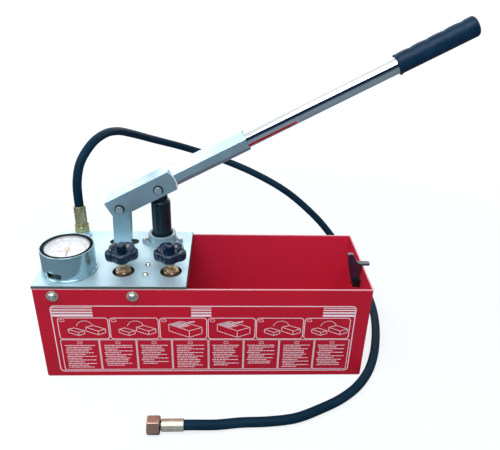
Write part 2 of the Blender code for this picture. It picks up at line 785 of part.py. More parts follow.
def bolt_holes():
    """Rods through both long walls at the deck bolts."""
    centres = [(x, 0.0, BOLT_Z) for x in BOLT_XS]
    return rods("bolt_holes", centres, BOLT_RADIUS + CLEAR, TANK_WIDTH + OVERRUN, "Y")


def make_deck_plate():
    """The plate on the rim, its tray of flanges, and every hole through them."""
    deck = block("deck_plate", (TANK_LEFT, DECK_RIGHT), (TANK_FRONT, TANK_BACK), (DECK_UNDER, DECK_TOP),
                 DECK_EDGE, on_top)
    left = TANK_LEFT + TANK_WALL + CLEAR
    right = DECK_RIGHT - TRAY_END_GAP
    outer = rounded(rectangle((left, right), (-TRAY_OUT_Y, TRAY_OUT_Y)), TRAY_BEND_OUT, CORNER_STEPS)
    inner_y = TRAY_OUT_Y - TRAY_THICK
    inner = rounded(rectangle((left + TRAY_THICK, right - TRAY_THICK), (-inner_y, inner_y)),
                    TRAY_BEND_IN, CORNER_STEPS)
    height = TRAY_DEPTH + DECK_THICK / 2
    tray = plate("tray", [outer, inner], height, at=(0.0, 0.0, DECK_UNDER + DECK_THICK / 2 - height / 2))
    join(deck, tray)
    depth = DECK_THICK + 2 * OVERRUN
    middle = DECK_UNDER + DECK_THICK / 2
    valves = rods("valve_holes", [(x, VALVE_Y, middle) for x in (LEFT_VALVE_X, RIGHT_VALVE_X)],
                  VALVE_HOLE_RADIUS, depth, sides=ROUND_SIDES)
    stem = rods("stem_hole", [(GAUGE_X, GAUGE_Y, middle)], GAUGE_STEM_RADIUS + CLEAR, depth)
    guide = rods("guide_hole", [(PISTON_X, LINE_Y, middle)], GUIDE_BORE_RADIUS, depth, sides=ROUND_SIDES)
    screws = rods("screw_holes", [(BODY_SCREW_X, y, middle) for y in BODY_SCREW_YS], BODY_SCREW_RADIUS + CLEAR, depth)
    flange = rods("flange_holes", [(x, LINE_Y, middle) for x in guide_screw_xs()], GUIDE_SCREW_RADIUS + CLEAR, depth)
    outlet = rods("outlet_hole", [(OUTLET_X, OUTLET_Y, middle)], OUTLET_STEM_RADIUS + CLEAR, depth)
    slot = plate("link_slot", [stadium((LINK_SLOT_X, LINE_Y), LINK_SLOT_LENGTH, LINK_SLOT_WIDTH, 8)], depth,
                 at=(0.0, 0.0, middle))
    cut(deck, valves, stem, guide, screws, flange, outlet, slot, bolt_holes())
    return finish(deck, "zinc_plate")


def make_deck_bolts():
    """Four button head bolts, each with its washer outside the tank and its nut inside the tray."""
    for side, turn in (("front", 90.0), ("back", -90.0)):
        for end, x in zip(("left", "right"), BOLT_XS):
            make_deck_bolt("_".join(("deck_bolt", side, end)), x, turn)


def make_deck_bolt(name, x, turn):
    """A bolt with its washer and nut, turned about the tank's middle so that its head faces outwards."""
    washer_low = TANK_BACK + CLEAR
    washer_top = washer_low + WASHER_THICK
    top = washer_top + BOLT_HEAD_HEIGHT
    nut_top = TRAY_OUT_Y - TRAY_THICK - CLEAR
    nut_low = nut_top - NUT_HEIGHT
    low = nut_low - BOLT_PROUD
    place = {"at": (x, 0.0, BOLT_Z), "turn": (turn, 0.0, 0.0)}
    bolt = turned(name, [
        (0.0, top), (BOLT_HEAD_RADIUS * 0.55, top), (BOLT_HEAD_RADIUS * 0.85, top - BOLT_HEAD_HEIGHT * 0.28),
        (BOLT_HEAD_RADIUS, top - BOLT_HEAD_HEIGHT * 0.8), (BOLT_HEAD_RADIUS, washer_top),
        (WASHER_RADIUS, washer_top), (WASHER_RADIUS, washer_low), (BOLT_RADIUS, washer_low), (BOLT_RADIUS, low),
        (0.0, low)], SMALL_SIDES, **place)
    nut = hexagon("deck_nut", [(0.0, 0.0, (nut_low + nut_top) / 2)], NUT_FLATS, NUT_HEIGHT, **place)
    join(bolt, nut)
    socket_height = BOLT_SOCKET_DEPTH + OVERRUN
    socket_z = top - BOLT_SOCKET_DEPTH + socket_height / 2
    cut(bolt, hexagon("bolt_socket", [(0.0, 0.0, socket_z)], BOLT_SOCKET_FLATS, socket_height, **place))
    return finish(bolt, "steel")


def ring_profile(inner, outer, low, high):
    """Profile of a plain ring."""
    return [(outer, high), (outer, low), (inner, low), (inner, high)]


# Valves

def make_valve_block():
    """The brass block under the deck, bored for two valves and tapped for its screws."""
    ys = (VALVE_Y - BLOCK_FRONT, BLOCK_REAR_Y)
    body = block("valve_block", (BLOCK_LEFT, BLOCK_RIGHT), ys, (BLOCK_BOTTOM, UNDER_DECK), BLOCK_EDGE)
    bore_length = VALVE_BORE_DEPTH + OVERRUN
    bore_z = UNDER_DECK - VALVE_BORE_DEPTH + bore_length / 2
    bores = rods("valve_bores", [(x, VALVE_Y, bore_z) for x in (LEFT_VALVE_X, RIGHT_VALVE_X)],
                 VALVE_BORE_RADIUS, bore_length)
    tap_length = BODY_SCREW_DEPTH + 2 * OVERRUN
    tap_z = UNDER_DECK - BODY_SCREW_DEPTH - OVERRUN + tap_length / 2
    taps = rods("screw_taps", [(BODY_SCREW_X, y, tap_z) for y in BODY_SCREW_YS], BODY_SCREW_RADIUS + CLEAR, tap_length)
    cut(body, bores, taps)
    return finish(body, "brass")


def make_body_screws():
    """Two slotted pan head screws through the deck into the block."""
    for name, y in zip(("body_screw_back", "body_screw_front"), BODY_SCREW_YS):
        make_body_screw(name, y)


def make_body_screw(name, y):
    """A slotted pan head screw; heights are from the deck's top."""
    length = DECK_THICK + 2 * CLEAR + BODY_SCREW_DEPTH
    radius = BODY_SCREW_HEAD_RADIUS
    height = BODY_SCREW_HEAD_HEIGHT
    place = {"at": (BODY_SCREW_X, y, ON_DECK)}
    screw = turned(name, [
        (0.0, height), (radius * 0.6, height * 0.92), (radius * 0.9, height * 0.6), (radius, 0.0),
        (BODY_SCREW_RADIUS, 0.0), (BODY_SCREW_RADIUS, -length), (0.0, -length)], SMALL_SIDES, **place)
    half = BODY_SCREW_SLOT / 2
    reach = radius + OVERRUN
    cut(screw, block("screw_slot", (-reach, reach), (-half, half), (height / 2, height + OVERRUN), **place))
    return finish(screw, "zinc_plate")


def make_packing_nut(side, x):
    """A hex nut with a round neck that seals a valve's stem."""
    low = UNDER_DECK + CLEAR
    hex_top = low + PACKING_HEX_HEIGHT
    place = {"at": (x, VALVE_Y, 0.0)}
    nut = hexagon(side + "_packing_nut", [(0.0, 0.0, (low + hex_top) / 2)], PACKING_FLATS, PACKING_HEX_HEIGHT, **place)
    neck_low = hex_top - PACKING_HEX_HEIGHT / 2
    neck = turned("packing_neck", [(0.0, PACKING_TOP), (PACKING_NECK_RADIUS, PACKING_TOP),
                                   (PACKING_NECK_RADIUS, neck_low), (0.0, neck_low)], SMALL_SIDES, **place)
    join(nut, neck)
    height = PACKING_TOP - low
    cut(nut, rods("packing_bore", [(0.0, 0.0, low + height / 2)], STEM_RADIUS + CLEAR, height + OVERRUN, **place))
    return finish(nut, "brass")


def spindle_profile():
    """Needle, thread, stem and ribbed collar of a valve spindle, from the top down."""
    collar_low = PACKING_TOP + STEM_COLLAR_RISE
    pitch = STEM_COLLAR_HEIGHT / STEM_COLLAR_RIBS
    points = [(0.0, KNOB_DISH_Z), (STEM_RADIUS, KNOB_DISH_Z), (STEM_RADIUS, collar_low + STEM_COLLAR_HEIGHT)]
    for rib in range(STEM_COLLAR_RIBS, 0, -1):
        top = collar_low + rib * pitch
        points += [(STEM_COLLAR_RADIUS, top), (STEM_COLLAR_RADIUS, top - pitch * 0.6),
                   (STEM_COLLAR_RADIUS - STEM_COLLAR_GROOVE, top - pitch * 0.7),
                   (STEM_COLLAR_RADIUS - STEM_COLLAR_GROOVE, top - pitch * 0.9)]
    bore_floor = UNDER_DECK - VALVE_BORE_DEPTH
    tip = bore_floor + CLEAR
    thread_low = tip + CONE_HEIGHT
    thread_radius = VALVE_BORE_RADIUS - CLEAR
    points += [(STEM_COLLAR_RADIUS - STEM_COLLAR_GROOVE, collar_low), (STEM_RADIUS, collar_low),
               (STEM_RADIUS, thread_low + THREAD_LENGTH), (thread_radius, thread_low + THREAD_LENGTH),
               (thread_radius, thread_low), (CONE_TIP_RADIUS, tip), (0.0, tip)]
    return points


def make_spindle(side, x):
    """A valve spindle on its own axis."""
    spindle = turned(side + "_spindle", spindle_profile(), SMALL_SIDES, at=(x, VALVE_Y, 0.0))
    return finish(spindle, "brass")


def knob_ring(height, lobe_inset=None, radius=None):
    """A ring of the knob: the star outline drawn in by an inset, or a circle of one radius."""
    count = KNOB_LOBES * KNOB_LOBE_STEPS
    ring = []
    for index in range(count):
        angle = math.tau * index / count - math.pi / 2
        reach = radius
        if lobe_inset is not None:
            valley = (1.0 - math.cos(KNOB_LOBES * math.tau * index / count)) / 2
            reach = KNOB_RADIUS - lobe_inset - KNOB_NOTCH * valley ** 1.5
        ring.append((reach * math.cos(angle), reach * math.sin(angle), height))
    return ring


def make_knob(side, x, turn):
    """A five-lobed knob with a dished top over a short hub."""
    hub_top = KNOB_BOTTOM + KNOB_HUB_HEIGHT
    knob = loft(side + "_knob", [
        knob_ring(KNOB_BOTTOM, radius=KNOB_HUB_RADIUS),
        knob_ring(hub_top, radius=KNOB_HUB_RADIUS),
        knob_ring(hub_top, lobe_inset=KNOB_EDGE * 1.6),
        knob_ring(hub_top + KNOB_EDGE * 0.8, lobe_inset=KNOB_EDGE * 0.4),
        knob_ring(hub_top + KNOB_THICK / 2, lobe_inset=0.0),
        knob_ring(KNOB_TOP - KNOB_EDGE, lobe_inset=0.0),
        knob_ring(KNOB_TOP - KNOB_EDGE * 0.3, lobe_inset=KNOB_EDGE * 0.3),
        knob_ring(KNOB_TOP, lobe_inset=KNOB_EDGE),
        knob_ring(KNOB_TOP - KNOB_EDGE * 0.2, radius=KNOB_DISH_RADIUS),
        knob_ring(KNOB_DISH_Z, radius=KNOB_DISH_FLOOR),
    ], at=(x, VALVE_Y, 0.0), turn=(0.0, 0.0, turn))
    height = KNOB_DISH_Z - KNOB_BOTTOM
    bore = rods(side + "_knob_bore", [(x, VALVE_Y, KNOB_BOTTOM + height / 2)], STEM_RADIUS + CLEAR, height + OVERRUN)
    cut(knob, bore)
    return finish(knob, "black_plastic")


def make_knob_cap(side, x):
    """The domed cap in the middle of a knob."""
    low = KNOB_DISH_Z + CLEAR
    top = low + KNOB_CAP_HEIGHT
    cap = turned(side + "_knob_cap", [
        (0.0, top), (KNOB_CAP_RADIUS * 0.45, top - KNOB_CAP_DOME * 0.12),
        (KNOB_CAP_RADIUS * 0.8, top - KNOB_CAP_DOME * 0.45), (KNOB_CAP_RADIUS, top - KNOB_CAP_DOME),
        (KNOB_CAP_RADIUS, low), (0.0, low)], SMALL_SIDES, at=(x, VALVE_Y, 0.0))
    return finish(cap, "black_plastic")


# Gauge

def make_gauge_cup():
    """The round cup that guards the gauge, with a slot low in its side."""
    low = ON_DECK
    top = low + CUP_HEIGHT
    inner = CUP_RADIUS - CUP_WALL
    cup = turned("gauge_cup", [
        (CUP_RADIUS, top), (CUP_RADIUS, low + CUP_FOOT_HEIGHT), (CUP_FOOT_RADIUS, low + CUP_FOOT_HEIGHT),
        (CUP_FOOT_RADIUS, low), (GAUGE_STEM_RADIUS + CLEAR, low), (GAUGE_STEM_RADIUS + CLEAR, CUP_FLOOR_TOP),
        (inner, CUP_FLOOR_TOP), (inner, top)], FINE_SIDES, at=(GAUGE_X, GAUGE_Y, 0.0))
    slot_low = low + CUP_SLOT_RISE
    slot = block("cup_slot", (CASE_RADIUS, CUP_FOOT_RADIUS), (-CUP_SLOT_WIDTH / 2, CUP_SLOT_WIDTH / 2),
                 (slot_low, slot_low + CUP_SLOT_HEIGHT), at=(GAUGE_X, GAUGE_Y, 0.0), turn=(0.0, 0.0, CUP_SLOT_AZIMUTH))
    cut(cup, slot)
    return finish(cup, "grey_cast")


def make_gauge_case():
    """The gauge's steel case, with a step that carries the glass."""
    seat = GLASS_BOTTOM - CLEAR
    step = CASE_INNER - CASE_STEP
    case = turned("gauge_case", [
        (CASE_RADIUS, CASE_TOP), (CASE_RADIUS, CASE_BOTTOM), (GAUGE_STEM_RADIUS + CLEAR, CASE_BOTTOM),
        (GAUGE_STEM_RADIUS + CLEAR, CASE_BOTTOM + CASE_FLOOR), (step, CASE_BOTTOM + CASE_FLOOR),
        (step, seat), (CASE_INNER, seat), (CASE_INNER, CASE_TOP)], FINE_SIDES, at=(GAUGE_X, GAUGE_Y, 0.0))
    return finish(case, "steel")


def make_gauge_seal():
    """The rubber ring between the case and the cup."""
    top = CASE_TOP + CLEAR
    profile = ring_profile(CASE_RADIUS + CLEAR, CUP_RADIUS - CUP_WALL - CLEAR, top - SEAL_HEIGHT, top)
    return finish(turned("gauge_seal", profile, FINE_SIDES, at=(GAUGE_X, GAUGE_Y, 0.0)), "black_rubber")


def make_gauge_stem():
    """The stem that clamps case, cup and deck, with the geared movement on top, bored for the arbor."""
    low = DECK_UNDER - GAUGE_STEM_BELOW_DECK
    top = DIAL_BOTTOM - CLEAR
    bore = ARBOR_RADIUS + CLEAR
    floor = DIAL_TOP - ARBOR_DEPTH - CLEAR
    stem = turned("gauge_stem", [
        (0.0, floor), (bore, floor), (bore, top), (MOVEMENT_RADIUS, top), (MOVEMENT_RADIUS, SHOULDER_TOP),
        (GAUGE_SHOULDER_RADIUS, SHOULDER_TOP), (GAUGE_SHOULDER_RADIUS, SHOULDER_BOTTOM),
        (GAUGE_STEM_RADIUS, SHOULDER_BOTTOM), (GAUGE_STEM_RADIUS, low), (0.0, low)],
        SMALL_SIDES, at=(GAUGE_X, GAUGE_Y, 0.0))
    return finish(stem, "brass")


def make_gauge_nut():
    """The nut that pulls the stem down against the deck."""
    middle = UNDER_DECK - GAUGE_NUT_HEIGHT / 2
    nut = hexagon("gauge_nut", [(GAUGE_X, GAUGE_Y, middle)], GAUGE_NUT_FLATS, GAUGE_NUT_HEIGHT)
    cut(nut, rods("gauge_nut_bore", [(GAUGE_X, GAUGE_Y, middle)], GAUGE_STEM_RADIUS + CLEAR,
                  GAUGE_NUT_HEIGHT + OVERRUN))
    return finish(nut, "brass")


def make_bourdon_tube():
    """The curved spring tube: it leaves the stem's side and runs round inside the case."""
    start = GAUGE_SHOULDER_RADIUS + CLEAR + BOURDON_TUBE_RADIUS * 1.15
    points = []
    for index in range(BOURDON_POINTS):
        share = index / (BOURDON_POINTS - 1)
        rise = min(1.0, share / BOURDON_RISE_SHARE)
        reach = start + (BOURDON_RADIUS - start) * (3 * rise ** 2 - 2 * rise ** 3)
        angle = math.radians(BOURDON_SWEEP * share)
        points.append((reach * math.cos(angle), reach * math.sin(angle), 0.0))
    middle = (SHOULDER_BOTTOM + SHOULDER_TOP) / 2
    ring = tube("bourdon_tube", points, BOURDON_TUBE_RADIUS, 1, at=(GAUGE_X, GAUGE_Y, middle))
    return finish(ring, "copper")


def make_gauge_dial():
    """The dial plate on the movement."""
    profile = ring_profile(ARBOR_RADIUS + CLEAR, CASE_INNER - CASE_STEP - CLEAR, DIAL_BOTTOM, DIAL_TOP)
    return finish(turned("gauge_dial", profile, FINE_SIDES, at=(GAUGE_X, GAUGE_Y, 0.0)), "dial_white")


def make_gauge_pointer():
    """The needle with its hub and arbor, on the gauge's axis."""
    low = DIAL_TOP + CLEAR
    axis = make_empty("pointer_axis", (GAUGE_X, GAUGE_Y, low), (0.0, 0.0, NEEDLE_REST_AZIMUTH))
    half = NEEDLE_WIDTH / 2
    outline = [(NEEDLE_LENGTH, 0.0), (0.0, half), (-NEEDLE_TAIL, half), (-NEEDLE_TAIL, -half), (0.0, -half)]
    pointer = plate("gauge_pointer", [outline], NEEDLE_THICK, at=(0.0, 0.0, NEEDLE_THICK), parent=axis)
    hub = turned("pointer_hub", [
        (0.0, HUB_HEIGHT), (HUB_RADIUS * 0.8, HUB_HEIGHT), (HUB_RADIUS, HUB_HEIGHT * 0.8), (HUB_RADIUS, 0.0),
        (ARBOR_RADIUS, 0.0), (ARBOR_RADIUS, -ARBOR_DEPTH), (0.0, -ARBOR_DEPTH)], SMALL_SIDES, parent=axis)
    join(pointer, hub)
    return finish(pointer, "black_oxide")


def make_gauge_glass():
    """The flat glass on the case's step."""
    radius = CASE_INNER - CLEAR
    glass = rods("gauge_glass", [(GAUGE_X, GAUGE_Y, (GLASS_BOTTOM + GLASS_TOP) / 2)], radius, GLASS_THICK,
                 sides=FINE_SIDES)
    return finish(glass, "glass")


# Piston line

def guide_screw_xs():
    """Places of the flange screws along X."""
    return [PISTON_X - GUIDE_EAR_REACH, PISTON_X + GUIDE_EAR_REACH]


def make_guide_collar():
    """The two-eared flange and collar that guide the piston through the deck."""
    low = ON_DECK
    flange_top = low + GUIDE_FLANGE_THICK
    top = low + GUIDE_HEIGHT
    outline = eared((PISTON_X, LINE_Y), GUIDE_FLANGE_RADIUS, GUIDE_EAR_RADIUS, GUIDE_EAR_REACH, 8)
    collar = plate("guide_collar", [outline], GUIDE_FLANGE_THICK, at=(0.0, 0.0, (low + flange_top) / 2))
    middle = (low + flange_top) / 2
    barrel = turned("guide_barrel", [
        (0.0, top), (GUIDE_RADIUS - GUIDE_LIP, top), (GUIDE_RADIUS, top - GUIDE_LIP), (GUIDE_RADIUS, middle),
        (0.0, middle)], ROUND_SIDES, at=(PISTON_X, LINE_Y, 0.0))
    join(collar, barrel)
    shoulder = low + GUIDE_SHOULDER
    above = top - shoulder + OVERRUN
    upper = rods("guide_bore", [(PISTON_X, LINE_Y, shoulder + above / 2)], GUIDE_BORE_RADIUS, above, sides=BORE_SIDES)
    lower = rods("guide_step", [(PISTON_X, LINE_Y, shoulder)], PISTON_RADIUS + CLEAR, 2 * GUIDE_SHOULDER + OVERRUN,
                 sides=BORE_SIDES)
    holes = rods("collar_screw_holes", [(x, LINE_Y, middle) for x in guide_screw_xs()], GUIDE_SCREW_RADIUS + CLEAR,
                 GUIDE_FLANGE_THICK + OVERRUN)
    cut(collar, upper, lower, holes)
    return finish(collar, "grey_cast")


def make_guide_screws():
    """Two screws through collar and deck into the cylinder's flange."""
    seat = ON_DECK + GUIDE_FLANGE_THICK + CLEAR
    low = UNDER_DECK - GUIDE_SCREW_DEPTH
    radius = GUIDE_SCREW_HEAD_RADIUS
    for name, x in zip(("guide_screw_left", "guide_screw_right"), guide_screw_xs()):
        screw = turned(name, [
            (0.0, seat + GUIDE_SCREW_HEAD_HEIGHT), (radius * 0.8, seat + GUIDE_SCREW_HEAD_HEIGHT),
            (radius, seat + GUIDE_SCREW_HEAD_HEIGHT * 0.7), (radius, seat), (GUIDE_SCREW_RADIUS, seat),
            (GUIDE_SCREW_RADIUS, low), (0.0, low)], SMALL_SIDES, at=(x, LINE_Y, 0.0))
        finish(screw, "zinc_plate")


def make_wiper_ring():
    """The rubber ring that wipes the piston, on the collar's inner shoulder."""
    inner = PISTON_RADIUS + CLEAR
    top = ON_DECK + GUIDE_HEIGHT + WIPER_PROUD
    profile = ring_profile(inner, inner + WIPER_WALL, WIPER_BOTTOM, top)
    return finish(turned("wiper_ring", profile, ROUND_SIDES, at=(PISTON_X, LINE_Y, 0.0)), "black_rubber")


def make_cylinder():
    """The pump cylinder with its flange under the deck."""
    flange_low = UNDER_DECK - CYLINDER_FLANGE_THICK
    middle = (flange_low + UNDER_DECK) / 2
    outline = eared((PISTON_X, LINE_Y), GUIDE_FLANGE_RADIUS, GUIDE_EAR_RADIUS, GUIDE_EAR_REACH, 8)
    cylinder = plate("cylinder", [outline], CYLINDER_FLANGE_THICK, at=(0.0, 0.0, middle))
    height = middle - CYLINDER_BOTTOM
    barrel = rods("cylinder_barrel", [(PISTON_X, LINE_Y, CYLINDER_BOTTOM + height / 2)], CYLINDER_RADIUS, height,
                  sides=ROUND_SIDES)
    join(cylinder, barrel)
    whole = UNDER_DECK - CYLINDER_BOTTOM
    bore = rods("cylinder_bore", [(PISTON_X, LINE_Y, CYLINDER_BOTTOM + whole / 2)], CYLINDER_BORE_RADIUS,
                whole + OVERRUN, sides=ROUND_SIDES)
    holes = rods("cylinder_screw_holes", [(x, LINE_Y, middle) for x in guide_screw_xs()], GUIDE_SCREW_RADIUS + CLEAR,
                 CYLINDER_FLANGE_THICK + OVERRUN)
    cut(cylinder, bore, holes)
    return finish(cylinder, "grey_cast")


def make_foot_valve():
    """The plug in the cylinder's foot, with the ball's chamber, cone seat and inlet port."""
    rim_top = CYLINDER_BOTTOM - CLEAR
    spigot = CYLINDER_BORE_RADIUS - CLEAR
    seat_low = FOOT_BOTTOM + FOOT_SEAT_RISE
    seat_high = seat_low + FOOT_CHAMBER_RADIUS - FOOT_PORT_RADIUS
    foot = turned("foot_valve", [
        (spigot, FOOT_TOP), (spigot, rim_top), (CYLINDER_RADIUS, rim_top), (CYLINDER_RADIUS, FOOT_BOTTOM),
        (FOOT_PORT_RADIUS, FOOT_BOTTOM), (FOOT_PORT_RADIUS, seat_low), (FOOT_CHAMBER_RADIUS, seat_high),
        (FOOT_CHAMBER_RADIUS, FOOT_TOP)], ROUND_SIDES, at=(PISTON_X, LINE_Y, 0.0))
    return finish(foot, "brass")


def make_inlet_ball():
    """The ball that rests on the foot valve's cone seat of 45 degrees."""
    seat_apex = FOOT_BOTTOM + FOOT_SEAT_RISE - FOOT_PORT_RADIUS
    centre_z = seat_apex + (BALL_RADIUS + CLEAR) * math.sqrt(2.0)
    form = bmesh.new()
    bmesh.ops.create_uvsphere(form, u_segments=SMALL_SIDES, v_segments=10, radius=BALL_RADIUS)
    return finish(from_form("inlet_ball", form, at=(PISTON_X, LINE_Y, centre_z)), "steel")


def make_strainer():
    """A slotted cup under the foot valve."""
    top = FOOT_BOTTOM - CLEAR
    floor = STRAINER_BOTTOM + STRAINER_WALL
    inner = STRAINER_RADIUS - STRAINER_WALL
    strainer = turned("strainer", [
        (0.0, floor), (inner, floor), (inner, top), (STRAINER_RADIUS, top), (STRAINER_RADIUS, STRAINER_BOTTOM),
        (0.0, STRAINER_BOTTOM)], SMALL_SIDES, at=(PISTON_X, LINE_Y, 0.0))
    reach = STRAINER_RADIUS + OVERRUN
    half = STRAINER_SLOT_WIDTH / 2
    low = floor + STRAINER_WALL
    for number in range(STRAINER_SLOTS):
        slot = block("strainer_slot", (-reach, reach), (-half, half), (low, low + STRAINER_SLOT_HEIGHT),
                     at=(PISTON_X, LINE_Y, 0.0), turn=(0.0, 0.0, 180.0 * number / STRAINER_SLOTS))
        cut(strainer, slot)
    return finish(strainer, "zinc_plate")


def make_piston(axis):
    """The piston with its round neck on the front pin and a spigot for the seal; heights are from the pin."""
    dome = [(NECK_RADIUS * math.sin(math.pi / 2 * step / DOME_STEPS), NECK_RADIUS * math.cos(
        math.pi / 2 * step / DOME_STEPS)) for step in range(DOME_STEPS + 1)]
    bottom = -PISTON_BELOW_PIN
    piston = turned("piston", dome + [
        (NECK_RADIUS, -PISTON_SHOULDER + PISTON_CONE), (PISTON_RADIUS, -PISTON_SHOULDER), (PISTON_RADIUS, bottom),
        (SPIGOT_RADIUS, bottom), (SPIGOT_RADIUS, bottom - SPIGOT_LENGTH), (0.0, bottom - SPIGOT_LENGTH)],
        ROUND_SIDES, parent=axis)
    join(piston, rods("piston_boss", [(0.0, 0.0, 0.0)], BOSS_RADIUS, BOSS_LENGTH, "Y", parent=axis))
    hole = rods("piston_pin_hole", [(0.0, 0.0, 0.0)], PIN_RADIUS + CLEAR, BOSS_LENGTH + OVERRUN, "Y", parent=axis)
    cut(piston, hole)
    return finish(piston, "black_oxide")


def make_piston_seal(axis):
    """The seal ring on the piston's spigot."""
    top = -PISTON_BELOW_PIN - CLEAR
    profile = ring_profile(SPIGOT_RADIUS + CLEAR, CYLINDER_BORE_RADIUS - SEAL_RING_WALL, top - SEAL_RING_HEIGHT, top)
    return finish(turned("piston_seal", profile, ROUND_SIDES, parent=axis), "black_rubber")


def make_seal_retainer(axis):
    """The nut that holds the seal on the spigot."""
    top = -PISTON_BELOW_PIN - SEAL_RING_HEIGHT - 2 * CLEAR
    centre = (0.0, 0.0, top - RETAINER_HEIGHT / 2)
    nut = hexagon("seal_retainer", [centre], RETAINER_FLATS, RETAINER_HEIGHT, parent=axis)
    cut(nut, rods("retainer_bore", [centre], SPIGOT_RADIUS + CLEAR, RETAINER_HEIGHT + OVERRUN, parent=axis))
    return finish(nut, "brass")


# Lever and link

def section(along, half_width, side_top, top, top_flat, side_bottom, bottom, bottom_flat):
    """An eight-sided section of the lever across its length, about the tube's axis."""
    corners = [(half_width, side_top), (top_flat, top), (-top_flat, top), (-half_width, side_top),
               (-half_width, side_bottom), (-bottom_flat, bottom), (bottom_flat, bottom), (half_width, side_bottom)]
    return [(along, across, TUBE_RISE + up) for across, up in corners]


def make_lever_fork(axis):
    """An upside-down channel over both pins that draws in to an eight-sided socket for the tube."""
    half = FORK_WIDTH / 2
    back = -PIN_SPACING - FORK_BACK
    fork = block("lever_fork", (back, FORK_FRONT), (-half, half), (-FORK_BOTTOM, FORK_TOP), FORK_CORNER,
                 along_top, parent=axis)
    end = [half, FORK_TOP - FORK_CORNER - TUBE_RISE, FORK_TOP - TUBE_RISE, half - FORK_CORNER,
           -FORK_BOTTOM - TUBE_RISE + SOCKET_EDGE, -FORK_BOTTOM - TUBE_RISE, half - SOCKET_EDGE]
    near = [share * TUBE_RADIUS for share in SOCKET_NEAR_SHARES]
    far = [share * TUBE_RADIUS for share in SOCKET_FAR_SHARES]
    socket = loft("lever_socket", [
        section(FORK_FRONT - FORK_WALL / 2, *end), section(FORK_FRONT, *end),
        section(SOCKET_START, *near), section(SOCKET_END, *far)], parent=axis)
    join(fork, socket)
    channel = block("fork_channel", (back - OVERRUN, FORK_FRONT - FORK_WALL), (-FORK_INNER, FORK_INNER),
                    (-FORK_BOTTOM - OVERRUN, FORK_TOP - FORK_WALL), parent=axis)
    bore_length = SOCKET_END - SOCKET_BORE_START + OVERRUN
    bore = rods("socket_bore", [(SOCKET_BORE_START + bore_length / 2, 0.0, TUBE_RISE)], TUBE_RADIUS + CLEAR,
                bore_length, "X", ROUND_SIDES, parent=axis)
    holes = rods("fork_pin_holes", [(0.0, 0.0, 0.0), (-PIN_SPACING, 0.0, 0.0)], PIN_RADIUS + CLEAR,
                 FORK_WIDTH + OVERRUN, "Y", parent=axis)
    cut(fork, channel, bore, holes)
    return finish(fork, "grey_cast")


def make_lever_tube(axis):
    """The chromed tube from the socket's floor to the grip's end wall."""
    profile = ring_profile(TUBE_RADIUS - TUBE_WALL, TUBE_RADIUS, SOCKET_BORE_START + CLEAR, TUBE_END)
    pipe = turned("lever_tube", profile, ROUND_SIDES, at=(0.0, 0.0, TUBE_RISE), turn=(0.0, 90.0, 0.0), parent=axis)
    return finish(pipe, "chrome")


def grip_ring(along, radius, swell):
    """A ring of the grip that swells on its upper side only."""
    ring = []
    for index in range(GRIP_SIDES):
        angle = math.tau * index / GRIP_SIDES
        upper = max(0.0, math.cos(angle)) ** 1.5
        reach = radius + swell * upper
        ring.append((along, reach * math.sin(angle), TUBE_RISE + reach * math.cos(angle)))
    return ring


def make_lever_grip(axis):
    """The rubber grip: finger waves on top, a smooth underside, a lip and a rounded closed end."""
    rings = [grip_ring(GRIP_START, GRIP_RADIUS + GRIP_LIP, 0.0),
             grip_ring(GRIP_START + GRIP_LIP_LENGTH, GRIP_RADIUS + GRIP_LIP, 0.0)]
    last = GRIP_LENGTH - GRIP_END_ROUND
    spacing = GRIP_WAVE_LENGTH / GRIP_WAVE_STEPS
    places = [spacing * step for step in range(1, math.ceil(last / spacing))] + [last]
    for along in places:
        swell = GRIP_SWELL * abs(math.sin(math.pi * along / GRIP_WAVE_LENGTH)) ** GRIP_WAVE_POWER
        rings.append(grip_ring(GRIP_START + along, GRIP_RADIUS, swell))
    for step in range(1, CORNER_STEPS + 1):
        angle = math.pi / 2 * step / CORNER_STEPS
        radius = GRIP_RADIUS - GRIP_END_ROUND * (1.0 - math.cos(angle))
        rings.append(grip_ring(GRIP_START + last + GRIP_END_ROUND * math.sin(angle), radius, swell * math.cos(angle)))
    grip = loft("lever_grip", rings, parent=axis)
    depth = TUBE_END + CLEAR - GRIP_START + OVERRUN
    bore = rods("grip_bore", [(GRIP_START - OVERRUN + depth / 2, 0.0, TUBE_RISE)], TUBE_RADIUS + CLEAR, depth, "X",
                ROUND_SIDES, parent=axis)
    cut(grip, bore)
    return finish(grip, "black_rubber")


def make_lever_pin(axis, name, along):
    """A pin across the fork with a head at the back and a groove for a clip in front."""
    half = FORK_WIDTH / 2
    end = half + PIN_PROUD
    groove = half + CLIP_THICK + 2 * CLEAR
    neck = PIN_RADIUS - PIN_GROOVE
    head = half + CLEAR
    pin = turned(name, [
        (0.0, end), (PIN_RADIUS, end), (PIN_RADIUS, groove), (neck, groove), (neck, half), (PIN_RADIUS, half),
        (PIN_RADIUS, -head), (PIN_HEAD_RADIUS, -head), (PIN_HEAD_RADIUS, -head - PIN_HEAD_HEIGHT),
        (0.0, -head - PIN_HEAD_HEIGHT)], SMALL_SIDES, at=(along, 0.0, 0.0), turn=(90.0, 0.0, 0.0), parent=axis)
    return finish(pin, "steel")


def make_pin_clip(axis, name, along):
    """The open spring clip in a pin's groove, in front of the fork."""
    inner = PIN_RADIUS - PIN_GROOVE + CLEAR
    gap = CLIP_OPENING / 2
    loop = arc((0.0, 0.0), CLIP_RADIUS, gap - 90.0, 270.0 - gap, 18)
    loop += arc((0.0, 0.0), inner, 270.0 - gap, gap - 90.0, 14)
    front = -(FORK_WIDTH / 2 + CLEAR + CLIP_THICK / 2)
    clip = plate(name, [loop], CLIP_THICK, at=(along, front, 0.0), turn=(90.0, 0.0, 0.0), parent=axis)
    return finish(clip, "black_oxide")


